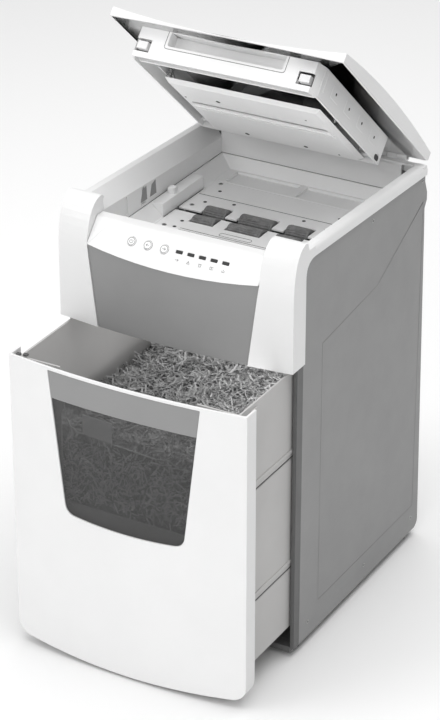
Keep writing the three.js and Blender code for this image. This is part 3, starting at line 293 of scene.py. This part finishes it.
MATERIAL_OF = {
    "white": (WHITE, ["top_cover", "control_panel", "bin_front", "lid_shell", "lid_latch_left", "lid_latch_right"]),
    "light": (LIGHT, ["tray_frame", "paper_guide", "lid_carrier", "pressure_plate", "power_button",
                      "reverse_button", "forward_button", "tray_floor_front", "tray_floor_rear"]),
    "tub": (TUB, ["bin_tub"]),
    "mid": (MID_AND_SLOT_SHADE, ["side_panel_left", "side_panel_right", "rear_panel", "front_fascia"]),
    "band": (BAND, ["bin_band"]),
    "dark": (DARK_AND_POCKET_SHADE, ["stripper_comb_front", "stripper_comb_rear"]),
    "motor": (MOTOR, ["drive_motor"]),
    "board": (BOARD, ["control_board"]),
    "black": (BLACK_AND_HOLE_SHADE, ["mains_inlet", "status_light_bar", "foot_front_left", "foot_front_right",
                      "foot_rear_left", "foot_rear_right"]),
    "post": (POST, ["base_plate", "mechanism_shelf", "front_post_left", "front_post_right", "base_front_bar"]),
    "steel": (STEEL, ["hinge_pin", "cutter_frame_left", "cutter_frame_right", "frame_spacer_bar", "motor_pinion",
                      "feed_shaft_front", "feed_shaft_rear", "cutter_gear_front", "cutter_gear_rear"]),
    "cutter": (CUTTER, ["cutter_shaft_front", "cutter_shaft_rear"]),
    "gear": (GEAR, ["idler_gear_front", "idler_gear_rear", "feed_gear_front", "feed_gear_rear", "reduction_gear"]),
    "rubber": (RUBBER, [n for n in nodes if n.startswith("feed_roller_")]),
    "smoke": (SMOKE, ["bin_window"]),
}


# ---------------------------------------------------------------- refining the CAD nodes
def refine(node, width=0.6, segments=2, angle=28, flat=0.7):
    """A copy of a CAD node with its flat faces made whole and its edges rounded, in its place."""
    src = nodes[node]
    me = src.data.copy()
    ob = link(bpy.data.objects.new(node + "_moulding", me))
    bm = bmesh.new()
    bm.from_mesh(me)
    bmesh.ops.remove_doubles(bm, verts=bm.verts, dist=3e-6)
    bmesh.ops.dissolve_limit(bm, angle_limit=math.radians(flat), verts=bm.verts, edges=bm.edges)
    for face in bm.faces:
        face.smooth = True
    bm.to_mesh(me)
    bm.free()
    if not width:
        me.set_sharp_from_angle(angle=math.radians(angle))
    if width:
        bevel = ob.modifiers.new("edges", "BEVEL")
        bevel.width = width * MM
        bevel.segments = segments
        bevel.limit_method = "ANGLE"
        bevel.angle_limit = math.radians(angle)
        bevel.use_clamp_overlap = False
        bevel.miter_outer = "MITER_ARC"
    normals = ob.modifiers.new("normals", "WEIGHTED_NORMAL")
    normals.keep_sharp = True
    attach(ob, src["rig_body"])
    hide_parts(node)
    return ob


for group, (material, names) in MATERIAL_OF.items():
    for n in names:
        nodes[n].data.materials.clear()
        nodes[n].data.materials.append(material)

refine("top_cover", 0)
refine("lid_carrier", 0, flat=0.05)
for n in ("lid_shell", "pressure_plate", "bin_front", "bin_tub", "control_panel"):
    refine(n, 0.8)
for n in ("side_panel_left", "side_panel_right", "rear_panel", "front_fascia", "bin_band", "bin_window", "tray_frame",
          "tray_floor_front", "tray_floor_rear", "paper_guide", "base_front_bar", "front_post_left",
          "front_post_right", "base_plate", "mechanism_shelf", "lid_latch_left", "lid_latch_right",
          "power_button", "reverse_button", "forward_button", "mains_inlet"):
    refine(n, 0.5)

# ---------------------------------------------------------------- shaped pieces
def frame_lid(x, y, z):
    """A point in the lid's own frame, which lies at the hinge and is opened by the lid's angle."""
    c, s = math.cos(LID_ANGLE), math.sin(LID_ANGLE)
    return P(x, HINGE_Y + y * c + z * s, HINGE_Z - y * s + z * c)


def frame_band(x, y, z):
    """A point on the control band: x along it, y up its slope, z out of it."""
    c, s = math.cos(BAND_SLOPE), math.sin(BAND_SLOPE)
    return P(x, BAND_Y + y * c - z * s, BAND_Z + y * s + z * c)


def finish(name, node, bm, material, bevel=0.0, segments=2, smooth=True):
    """Turns a bmesh into an object that rides with a CAD node's body."""
    bmesh.ops.recalc_face_normals(bm, faces=bm.faces)
    me = bpy.data.meshes.new(name)
    for face in bm.faces:
        face.smooth = smooth
    bm.to_mesh(me)
    bm.free()
    ob = link(bpy.data.objects.new(name, me))
    if bevel:
        b = ob.modifiers.new("edges", "BEVEL")
        b.width = bevel * MM
        b.segments = segments
        b.limit_method = "ANGLE"
        b.angle_limit = math.radians(30)
    if smooth:
        ob.modifiers.new("normals", "WEIGHTED_NORMAL").keep_sharp = True
    me.materials.append(material)
    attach(ob, nodes[node]["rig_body"])
    return ob


def prism(name, node, place, outline, low, high, material, bevel=0.3):
    """An outline of (u, v) points drawn between two depths; place(u, v, depth) gives the point."""
    bm = bmesh.new()
    under = [bm.verts.new(place(u, v, low)) for u, v in outline]
    over = [bm.verts.new(place(u, v, high)) for u, v in outline]
    n = len(outline)
    bm.faces.new(under)
    bm.faces.new(over)
    for i in range(n):
        bm.faces.new((under[i], under[(i + 1) % n], over[(i + 1) % n], over[i]))
    return finish(name, node, bm, material, bevel, smooth=bevel > 0)


def rounded(u0, u1, v0, v1, r, steps=5):
    points = []
    for cu, cv, start in ((u1 - r, v1 - r, 0), (u0 + r, v1 - r, 90), (u0 + r, v0 + r, 180), (u1 - r, v0 + r, 270)):
        for i in range(steps + 1):
            a = math.radians(start + 90 * i / steps)
            points.append((cu + r * math.cos(a), cv + r * math.sin(a)))
    return points


def ring(cu, cv, r, steps=20):
    return [(cu + r * math.cos(2 * math.pi * i / steps), cv + r * math.sin(2 * math.pi * i / steps))
            for i in range(steps)]


def tube(name, node, points, radius, material, closed=False, sides=8):
    """A round bar along a line of points in millimetres already placed in the row frame."""
    bm = bmesh.new()
    rings = []
    n = len(points)
    for i, point in enumerate(points):
        before = points[(i - 1) % n] if closed or i > 0 else point
        after = points[(i + 1) % n] if closed or i < n - 1 else point
        along = (after - before).normalized()
        if i == 0:
            side = along.orthogonal().normalized()
        else:
            side = (rings[-1][1] - along * rings[-1][1].dot(along)).normalized()
        other = along.cross(side)
        verts = [bm.verts.new(point + (side * math.cos(2 * math.pi * k / sides)
                                       + other * math.sin(2 * math.pi * k / sides)) * radius * MM)
                 for k in range(sides)]
        rings.append((verts, side))
    for i in range(n if closed else n - 1):
        a, b = rings[i][0], rings[(i + 1) % n][0]
        for k in range(sides):
            bm.faces.new((a[k], a[(k + 1) % sides], b[(k + 1) % sides], b[k]))
    if not closed:
        bm.faces.new(rings[0][0])
        bm.faces.new(rings[-1][0])
    return finish(name, node, bm, material)


def spring(name, node, start, end, radius, wire, turns, material):
    """A coil spring between two points."""
    axis = end - start
    side = axis.orthogonal().normalized()
    other = axis.normalized().cross(side)
    steps = turns * 12
    points = [start + axis * (i / steps) + (side * math.cos(i * math.pi / 6) + other * math.sin(i * math.pi / 6))
              * radius * MM for i in range(steps + 1)]
    return tube(name, node, points, wire, material, sides=6)


def screw(name, node, place, u, v, depth, radius, material):
    """A screw head with a cross recess: a domed disc and two dark bars that are painted shade in the recess."""
    prism(name, node, place, ring(u, v, radius, 16), depth - 0.6, depth + 0.7, material, 0.3)
    w, r = radius * 0.16, radius * 0.62
    bar = [(u - w, v - r), (u + w, v - r), (u + w, v + r), (u - w, v + r)]
    prism(name + "_recess_shade_a", node, place, bar, depth + 0.5, depth + 0.78, BLACK_AND_HOLE_SHADE, 0)
    bar = [(u - r, v - w), (u + r, v - w), (u + r, v + w), (u - r, v + w)]
    prism(name + "_recess_shade_b", node, place, bar, depth + 0.5, depth + 0.79, BLACK_AND_HOLE_SHADE, 0)


# ---------------------------------------------------------------- shreds
def smooth(lo, hi, x):
    t = max(0.0, min(1.0, (x - lo) / (hi - lo)))
    return t * t * (3 - 2 * t)


HEAP_LEFT, HEAP_RIGHT = -170.0, 170.0
HEAP_FRONT, HEAP_REAR = -343.0, 42.0


def heap_height(x, y):
    """The top of the shreds: lowest along the left wall, fullest in front and in the middle."""
    inside = smooth(0, 95, x - HEAP_LEFT)
    front = smooth(-230, -335, y)
    waves = 3.0 * math.sin(x * 0.045 + 1.3) * math.cos(y * 0.037) + 2.0 * math.sin(x * 0.11 - y * 0.083)
    return 337 + 31 * max(inside, 0.85 * front) + waves


def shred_material():
    t = Tree("shredded_paper")
    tone = t.node("ShaderNodeAttribute")
    tone.attribute_name = "tone"
    ink = t.node("ShaderNodeMath", operation="MULTIPLY")
    t.link(tone.outputs["Fac"], ink.inputs[0])
    t.link(t.span(t.noise(420.0, 3.0, 0.75), 0.78, 1.12), ink.inputs[1])
    t.link(t.ramp(ink.outputs[0], grey(24), grey(236), 0.0, 1.0), t.bsdf.inputs["Base Color"])
    t.bsdf.inputs["Roughness"].default_value = 0.85
    t.bump(t.noise(1500.0, 2.0, 0.6), 0.2, 0.0002)
    return t.mat


def heap_base(material):
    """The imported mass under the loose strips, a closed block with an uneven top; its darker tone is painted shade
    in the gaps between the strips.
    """
    bm = bmesh.new()
    nx, ny = 60, 66
    tone = bm.verts.layers.float.new("tone")
    rng = random.Random(11)
    grid = []
    for i in range(nx + 1):
        x = HEAP_LEFT + (HEAP_RIGHT - HEAP_LEFT) * i / nx
        row = []
        for j in range(ny + 1):
            y = HEAP_FRONT + (HEAP_REAR - HEAP_FRONT) * j / ny
            v = bm.verts.new(P(x, y, heap_height(x, y) - 7 + rng.uniform(-2.5, 2.5)))
            # Painted shade: the mass is toned darker than the loose strips.
            v[tone] = rng.uniform(0.2, 0.36)
            row.append(v)
        grid.append(row)
    for i in range(nx):
        for j in range(ny):
            bm.faces.new((grid[i][j], grid[i + 1][j], grid[i + 1][j + 1], grid[i][j + 1]))
    edge = ([grid[i][0] for i in range(nx + 1)] + [grid[nx][j] for j in range(1, ny + 1)]
            + [grid[i][ny] for i in range(nx - 1, -1, -1)] + [grid[0][j] for j in range(ny - 1, 0, -1)])
    low = []
    for v in edge:
        w = bm.verts.new((v.co.x, v.co.y, 60 * MM))
        # Darker still towards the bottom of the sides: painted shade.
        w[tone] = 0.18
        low.append(w)
    for i, v in enumerate(edge):
        bm.faces.new((v, edge[(i + 1) % len(edge)], low[(i + 1) % len(low)], low[i]))
    bm.faces.new(low)
    return finish("shred_mass", "bin_tub", bm, material)


def strips(name, count, seed, spot, material, light_gain=1.0):
    """Cut strips of paper, each bent and curled its own way; spot(rng) gives a centre and the surface's normal. The
    last argument scales the strips' tone; above one it is painted light.
    """
    rng = random.Random(seed)
    bm = bmesh.new()
    tone = bm.verts.layers.float.new("tone")
    for _ in range(count):
        centre, normal = spot(rng)
        length = rng.uniform(17, 31)
        half = rng.choice((0.7, 0.9, 1.1, 1.3))
        heading = rng.uniform(0, 2 * math.pi)
        first = normal.orthogonal().normalized()
        along = first * math.cos(heading) + normal.cross(first) * math.sin(heading)
        along = (along + normal * rng.gauss(0, 0.24)).normalized()
        across = normal.cross(along).normalized()
        up = along.cross(across)
        roll = rng.gauss(0, 0.45)
        curl = rng.gauss(0, 0.03)
        twist = rng.gauss(0, 0.035)
        sway = rng.gauss(0, 0.012)
        tones = (rng.uniform(0.5, 0.62), rng.uniform(0.4, 0.52), rng.uniform(0.18, 0.34))
        value = rng.choices(tones, (5, 6, 1.4))[0]
        steps = 6
        last = None
        place = Vector((0.0, 0.0, 0.0))
        angle, bend = -curl * length / 2, -sway * length / 2
        path = []
        for k in range(steps + 1):
            path.append((place.copy(), roll + twist * length * (k / steps - 0.5)))
            step = length / steps
            place += (along * math.cos(angle) * math.cos(bend) + up * math.sin(angle)
                      + across * math.sin(bend)) * step
            angle += curl * step
            bend += sway * step
        middle = path[steps // 2][0]
        for at, turn in path:
            side = across * math.cos(turn) + up * math.sin(turn)
            a = bm.verts.new(centre + (at - middle + side * half) * MM)
            b = bm.verts.new(centre + (at - middle - side * half) * MM)
            a[tone] = value * light_gain
            b[tone] = value * light_gain
            if last:
                bm.faces.new((last[0], last[1], b, a))
            last = (a, b)
    me = bpy.data.meshes.new(name)
    bm.to_mesh(me)
    bm.free()
    me.materials.append(material)
    ob = link(bpy.data.objects.new(name, me))
    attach(ob, nodes["bin_tub"]["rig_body"])
    return ob


def spot_on_top(rng):
    x = rng.uniform(HEAP_LEFT + 11, HEAP_RIGHT - 11)
    y = rng.uniform(HEAP_FRONT + 11, HEAP_REAR - 12)
    return P(x, y, heap_height(x, y) + rng.uniform(-5, 2.5)), Vector((0, 0, 1))


def spot_at_window(rng):
    x = rng.uniform(-116, 116)
    z = rng.uniform(262, 358)
    return P(x, HEAP_FRONT + rng.uniform(-0.5, 1.8), z), Vector((0, -1, 0))


def shreds():
    paper = shred_material()
    base = heap_base(paper)
    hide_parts("shred_heap")
    strips("shreds_on_top", 7800, 5, spot_on_top, paper)
    # The strips behind the window are the same paper with their tone raised 1.6 times: painted light.
    strips("shreds_behind_window", 1500, 9, spot_at_window, paper, 1.6)


# ---------------------------------------------------------------- lid details
def lid_details():
    front = -355.0
    on_front = lambda u, v, d: frame_lid(u, front - d, v)
    for sx, side in ((-1, "left"), (1, "right")):
        for k, gap_x in enumerate((60.0, 70.0)):
            prism(f"clip_{side}_{k}", "lid_carrier", on_front,
                  rounded(sx * gap_x * 0.62 - 2.6, sx * gap_x * 0.62 + 2.6, -42.5, -35.0, 0.8), -3.0, 0.5, LIGHT)
        # A dark plate at the back of each latch pocket: painted shade.
        prism(f"latch_pocket_shade_{side}", "lid_carrier", lambda u, v, d: frame_lid(u, front + d, v),
              rounded(sx * 128 - 11.6, sx * 128 + 11.6, -34.6, -16.4, 2), 8.0, 9.4, DARK_AND_POCKET_SHADE)
    outline = rounded(-95, 95, -24, 10.5, 4)
    seam("handle_seam", "lid_carrier", [frame_lid(u, front - 0.1, v) for u, v in outline], 0.45, SEAM, True)
    # Ribs, grooves and fixing points along both flanks of the carrier.
    half = CARRIER_HALF
    for sx, side in ((-1, "left"), (1, "right")):
        flank = lambda u, v, d, sx=sx: frame_lid(sx * (half + d), u, v)
        for k, y in enumerate((-338.0, -326.0)):
            bar = [(y - 1.6, -30), (y + 1.6, -30), (y + 1.6, -2), (y - 1.6, -2)]
            prism(f"flank_rib_{side}_{k}", "lid_carrier", flank, bar, -0.4, 0.5, LIGHT)
        for k, (y0, y1) in enumerate(((-300, -270), (-246, -216), (-192, -162), (-138, -108))):
            prism(f"flank_panel_{side}_{k}", "lid_carrier", flank,
                  rounded(y0, y1, -27, -8, 3), -0.4, 0.35, LIGHT)
            # Black disc for each flank panel's hole: painted shade.
            prism(f"flank_hole_shade_{side}_{k}", "lid_carrier", flank,
                  ring((y0 + y1) / 2, -17, 2.2), 0.2, 0.5, BLACK_AND_HOLE_SHADE, 0)
        # Black patch for the pivot slot: painted shade.
        slot = rounded(-101, -86, -41, -33, 3.8)
        prism(f"pivot_slot_shade_{side}", "lid_carrier", flank, slot, 0.0, 0.5, BLACK_AND_HOLE_SHADE, 0)
    # The pressure plate: folded edges, fixings, arms and the springs that push it down.
    face = lambda u, v, d: frame_lid(u, v, PLATE_FACE - d)
    # Black discs where the pressure plate has holes: painted shade.
    for k, (u, v, r) in enumerate(((-112, -217, 1.5), (-55, -226, 3.4), (87, -228, 1.5), (37, -98, 3.4),
                                   (90, -94, 1.5), (-60, -98, 3.4))):
        prism(f"plate_hole_shade_{k}", "pressure_plate", face, ring(u, v, r, 16), 0.02, 0.3, BLACK_AND_HOLE_SHADE, 0)
    prism("plate_lip", "pressure_plate", face, rounded(-113, 113, -187, -181, 2.4), -0.3, 1.8, LIGHT, 0.5)
    prism("plate_lip_rear", "pressure_plate", face, rounded(-115, 115, -176, -170, 2.4), -0.3, 1.1, LIGHT, 0.5)
    cross = lambda u, v, d: frame_lid(u, -331 + d, v)
    prism("cross_wall", "lid_carrier", cross, rounded(-142, 142, -41.5, -21, 6), 0, 3.2, LIGHT, 0.8)
    for k, (u, w) in enumerate(((-20.0, 26.0), (40.0, 22.0))):
        prism(f"solenoid_{k}", "lid_carrier", lambda a, b, d: frame_lid(a, -292 + d, b),
              rounded(u - w / 2, u + w / 2, -24, -6, 2), 0, 20, MID_AND_SLOT_SHADE, 0.8)
        spring(f"solenoid_spring_{k}", "lid_carrier", frame_lid(u, -294, -30), frame_lid(u, -312, -22),
               3.4, 0.8, 6, STEEL)
    for sx, side in ((-1, "left"), (1, "right")):
        for k, y in enumerate((-248.0, -140.0)):
            top = frame_lid(sx * 132, y, -14)
            foot = frame_lid(sx * 132, y, PLATE_FACE + 11)
            spring(f"plate_spring_{side}_{k}", "lid_carrier", foot, top, 4.2, 0.7, 7, STEEL)
            tube(f"plate_arm_{side}_{k}", "lid_carrier",
                 [frame_lid(sx * 127, y + 26, PLATE_FACE + 8), frame_lid(sx * 134, y + 4, -18),
                  frame_lid(sx * 142, y - 16, -10)], 1.6, STEEL)
            prism(f"spring_seat_{side}_{k}", "lid_carrier", lambda u, v, d: frame_lid(u, v, -14 + d),
                  ring(sx * 132, y, 6.4, 18), 0, 4, DARK_AND_POCKET_SHADE)
        for k, (y0, y1) in enumerate(((-346, -284), (-272, -196), (-184, -120))):
            prism(f"inner_rail_{side}_{k}", "lid_carrier", lambda u, v, d: frame_lid(u, v, -26 + d),
                  [(sx * 139, y0), (sx * 142.5, y0), (sx * 142.5, y1), (sx * 139, y1)], 0, 12, LIGHT)


def seam(name, node, points, radius, material, closed=False):
    return tube(name, node, points, radius, material, closed, 6)


# ---------------------------------------------------------------- tray details
def tray_details():
    flat = lambda u, v, d: P(u, v, FLOOR_Z + d)
    # Black discs where the tray floor has holes: painted shade.
    for k, (u, v) in enumerate(((-96, -56), (-96, -34), (96, -56), (96, -34), (-100, 40), (100, 40),
                                (-58, 52), (58, 52), (-100, 84), (100, 84))):
        prism(f"tray_hole_shade_{k}", "tray_floor_front" if v < 0 else "tray_floor_rear", flat,
              ring(u, v, 2.8, 16), 0.02, 0.25, BLACK_AND_HOLE_SHADE, 0)
    for k, (u, v) in enumerate(((-112, -58), (112, -58), (-112, 108), (112, 108), (112, 22), (-112, 22))):
        screw(f"tray_screw_{k}", "tray_floor_front" if v < 0 else "tray_floor_rear", flat, u, v, 0, 3.6, STEEL)
    for k, v in enumerate((-62.0, -56.5)):
        seam(f"tray_line_{k}", "tray_floor_front", [flat(-86, v, 0.1), flat(86, v, 0.1)], 0.5, SEAM)
    label = rounded(-26, 26, -52, -43, 4)
    seam("tray_label", "tray_floor_front", [flat(u, v, 0.1) for u, v in label], 0.4, SEAM, True)
    seam("tray_bend", "tray_floor_rear", [flat(-122, 62, 0.1), flat(122, 62, 0.1)], 0.6, SEAM)
    # The loading guide's two tapered slots in the left wall, drawn as flat mid grey patches that are painted shade,
    # and its post.
    well_x = cast("top_cover", P(0, -40, 605), Vector((-1, 0, 0))).x * 1000
    for k, (y0, y1) in enumerate(((-60, -42), (-34, -16))):
        wall = lambda u, v, d: P(well_x + d, u, v)
        prism(f"wall_slot_painted_shade_{k}", "top_cover", wall, [(y0, 594), (y1, 594), (y1 - 2, 616), (y0 + 5, 612)],
              -0.1, 0.25, MID_AND_SLOT_SHADE, 0)
    prism("guide_post", "paper_guide", lambda u, v, d: P(u, v, 587 + d),
          rounded(-144, -132, 4, 16, 3), -1, 9, LIGHT, 0.8)


def rollers():
    """Each roller gets its moulded rubber sleeve: lengthwise ribs and a plain collar at each end."""
    for row, y in (("front", -16.0), ("rear", 20.0)):
        for side, x, width in (("left", -68.0, 36.0), ("centre", 0.0, 54.0), ("right", 68.0, 36.0)):
            bm = bmesh.new()
            ribs = 22
            rings = []
            for u, plain in ((-width / 2, 1), (-width / 2 + 2.2, 1), (-width / 2 + 2.6, 0), (width / 2 - 2.6, 0),
                             (width / 2 - 2.2, 1), (width / 2, 1)):
                loop = []
                for k in range(ribs * 4):
                    deep = 0.0 if plain else (0.9 if k % 4 in (0, 1) else 0.0)
                    edge = 0.5 if abs(abs(u) - width / 2) < 0.01 else 0.0
                    a = 2 * math.pi * k / (ribs * 4)
                    r = ROLLER_RADIUS - 0.05 - deep - edge
                    loop.append(bm.verts.new(P(x + u, y + r * math.cos(a), ROLLER_Z + r * math.sin(a))))
                rings.append(loop)
            n = ribs * 4
            for a, b in zip(rings, rings[1:]):
                for k in range(n):
                    bm.faces.new((a[k], a[(k + 1) % n], b[(k + 1) % n], b[k]))
            bm.faces.new(rings[0])
            bm.faces.new(rings[-1])
            node = f"feed_roller_{row}_{side}"
            ob = finish(f"{node}_sleeve", node, bm, RUBBER, smooth=False)
            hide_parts(node)
            for end in (-1, 1):
                prism(f"{node}_hub_{end + 1}", node, lambda u, v, d, e=end, x=x: P(x + e * (width / 2 + d), u, v),
                      ring(y, ROLLER_Z, 7.5, 20), -0.5, 1.2, BLACK_AND_HOLE_SHADE, 0.3)


# ---------------------------------------------------------------- controls
def cast(node, start, way):
    """Where a line from a point first meets a CAD node."""
    me = nodes[node].data
    tree = BVHTree.FromPolygons([v.co for v in me.vertices], [tuple(f.vertices) for f in me.polygons])
    return tree.ray_cast(start, way)[0]


def lift_over(node, x, up):
    """How far a node's face stands out of the control band at a place on it."""
    out = frame_band(0, 0, 1) - frame_band(0, 0, 0)
    start = frame_band(x, up, 30)
    place = cast(node, start, -out.normalized())
    return 30 - (place - start).length * 1000 if place else 0.0


def icons():
    """Line symbols: power, back, forward, and one below each of the five lights."""
    for i, name in enumerate(("power_button", "reverse_button", "forward_button")):
        x = -70 + BUTTON_PITCH * i
        lift = lift_over(name, x, BUTTON_UP)
        at = lambda u, v, x=x, lift=lift: frame_band(x + u, BUTTON_UP + v, lift + 0.12)
        seam(f"{name}_ring", name, [at(u, v) for u, v in ring(0, 0, 5.4, 32)], 0.32, ICON, True)
        if i == 0:
            turns = [math.radians(40 + 280 * k / 18) for k in range(19)]
            arc = [(2.6 * math.sin(a), 2.6 * math.cos(a)) for a in turns]
            seam("power_arc", name, [at(u, v) for u, v in arc], 0.3, ICON)
            seam("power_bar", name, [at(0, 0.6), at(0, 3.2)], 0.3, ICON)
        else:
            s = -1 if i == 1 else 1
            seam(f"{name}_shaft", name, [at(-2.4 * s, 0), at(2.2 * s, 0)], 0.3, ICON)
            seam(f"{name}_head", name, [at(0.4 * s, 1.8), at(2.5 * s, 0), at(0.4 * s, -1.8)], 0.3, ICON)
    marks = (
        [[(-2.6, 0), (2.6, 0)], [(0.8, 1.6), (2.6, 0), (0.8, -1.6)]],
        [[(-2.4, -1.8), (2.4, -1.8), (0, 2.3), (-2.4, -1.8)], [(0, 0.9), (0, -0.6)]],
        [[(-1.8, 1.6), (-1.3, -2), (1.3, -2), (1.8, 1.6)], [(-2.5, 1.8), (2.5, 1.8)]],
        [[(-2.4, 1.8), (2.4, 1.8), (2.4, -1.8), (-2.4, -1.8), (-2.4, 1.8)], [(0, 1.8), (0, -1.8)]],
        [[(0, 2.2), (0, -0.4)], [(-2.2, 0.6), (-1.6, -1.6), (1.6, -1.6), (2.2, 0.6)]],
    )
    for i, lines in enumerate(marks):
        x = 6 + MARK_PITCH * i
        lift = lift_over("control_panel", x, MARK_UP)
        for k, line in enumerate(lines):
            points = [frame_band(x + u, MARK_UP + v, lift + 0.1) for u, v in line]
            seam(f"light_mark_{i}_{k}", "control_panel", points, 0.28, ICON)


# ---------------------------------------------------------------- cabinet and bin details
def cabinet_details():
    for sx, side in ((-1, "left"), (1, "right")):
        node = f"side_panel_{side}"
        skin = lambda u, v, d, sx=sx: P(sx * (SIDE_FACE_X + d), u, v)
        panel = [(185, 575), (40, 500), (-128, 482), (-128, 60), (185, 60)]
        tube(f"emboss_{side}", node, [skin(u, v, -0.25) for u, v in panel], 0.8, MID_AND_SLOT_SHADE, closed=True)
        for k, z in enumerate((40.0, 610.0)):
            for m, y in enumerate((-160.0, 20.0, 180.0)):
                if z < 500 or y > 0:
                    screw(f"panel_screw_{side}_{k}_{m}", node, skin, y, z, 0, 3.2, STEEL)
    for k, (x, z) in enumerate(((-168, 40), (168, 40), (-168, 300), (168, 300), (-168, 590), (168, 590))):
        y = rear_face(z)
        screw(f"rear_screw_{k}", "rear_panel", lambda u, v, d, y=y: P(u, y + d, v), x, z, 0, 3.4, STEEL)
    rating = [(-60, 120), (20, 120), (20, 170), (-60, 170)]
    prism("rating_plate", "rear_panel", lambda u, v, d: P(u, rear_face(v) + d, v), rating, 0.0, 0.35, LIGHT, 0.05)
    for k in range(5):
        z = 160 - 8 * k
        prism(f"rating_row_{k}", "rear_panel", lambda u, v, d: P(u, rear_face(v) + d, v),
              [(-54, z - 1), (14 - 9 * (k % 3), z - 1), (14 - 9 * (k % 3), z + 1), (-54, z + 1)], 0.34, 0.4, ICON, 0)
    prism("inlet_contacts", "mains_inlet", lambda u, v, d: P(u, REAR_TOP_Y - 10 + d, v),
          rounded(104, 106, 507, 513, 0.8), 0, 4, STEEL, 0.2)
    prism("inlet_contacts_b", "mains_inlet", lambda u, v, d: P(u, REAR_TOP_Y - 10 + d, v),
          rounded(114, 116, 507, 513, 0.8), 0, 4, STEEL, 0.2)


def rear_face(z):
    """Where the rear panel's outer face lies at a height."""
    if z > REAR_STEP_Z:
        return REAR_TOP_Y + 2.0
    return REAR_SKIN_LOW_Y


def bin_details():
    top = lambda u, v, d: P(u, v, 472 + d)
    for k, x in enumerate((-176.0, -166.0)):
        pad = rounded(x - 3.5, x + 3.5, -352 + 3 * k, -346 + 3 * k, 1)
        prism(f"rim_pad_{k}", "bin_front", top, pad, -0.8, 1.6, DARK_AND_POCKET_SHADE)
    for sx, side in ((-1, "left"), (1, "right")):
        flank = lambda u, v, d, sx=sx: P(sx * (TUB_FACE_X + d), u, v)
        for k, z in enumerate((332.0, 151.0)):
            band = [(-322, z + 8), (34, z + 8), (34, z + 14), (-322, z + 14)]
            prism(f"tub_band_{side}_{k}", "bin_tub", flank, band, -0.3, 1.4, TUB, 0.7)
            seam(f"tub_seam_{side}_{k}", "bin_tub", [flank(-328, z, -0.8), flank(36, z, -0.8)], 0.9, DARK_AND_POCKET_SHADE)
        prism(f"tub_stop_{side}", "bin_tub", flank, rounded(-320, -300, 440, 462, 3), -0.3, 2.0, TUB, 0.6)
    # The clear inner sheet behind the window, cut away above. The sheet itself is not drawn: its cut edge is an
    # opaque light grey bar, a painted highlight.
    cut = [(-108, 462), (-104, 392), (-96, 378), (-82, 371), (40, 363), (58, 366), (68, 378), (76, 462)]
    seam("inner_sheet_painted_highlight", "bin_tub", [P(u, -345.4, v) for u, v in cut], 1.1, SHEET_EDGE_HIGHLIGHT)
    prism("inner_sheet_tab", "bin_tub", lambda u, v, d: P(u, -345.8 + d, v),
          [(-76, 371), (-28, 367), (-28, 400), (-76, 402)], 0, 0.8, LIGHT, 0.2)


def bottom_details():
    under = lambda u, v, d: P(u, v, 14 - d)
    for k, (x, y) in enumerate(((-168, -170), (168, -170), (-168, 170), (168, 170), (0, 0))):
        screw(f"base_screw_{k}", "base_plate", under, x, y, 0, 3.6, STEEL)
    for n in ("foot_front_left", "foot_front_right", "foot_rear_left", "foot_rear_right"):
        lo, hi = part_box(n)
        cx, cy = (lo.x + hi.x) / 2 * 1000, (lo.y + hi.y) / 2 * 1000 - SHIFT
        for k, z in enumerate((3.0, 5.5)):
            seam(f"{n}_tread_{k}", n, [P(cx + 6.9 * math.cos(a), cy + 6.9 * math.sin(a), z)
                                       for a in [2 * math.pi * i / 24 for i in range(24)]], 0.5, RUBBER, True)


bpy.context.view_layer.update()
shreds()
lid_details()
tray_details()
rollers()
icons()
cabinet_details()
bin_details()
bottom_details()
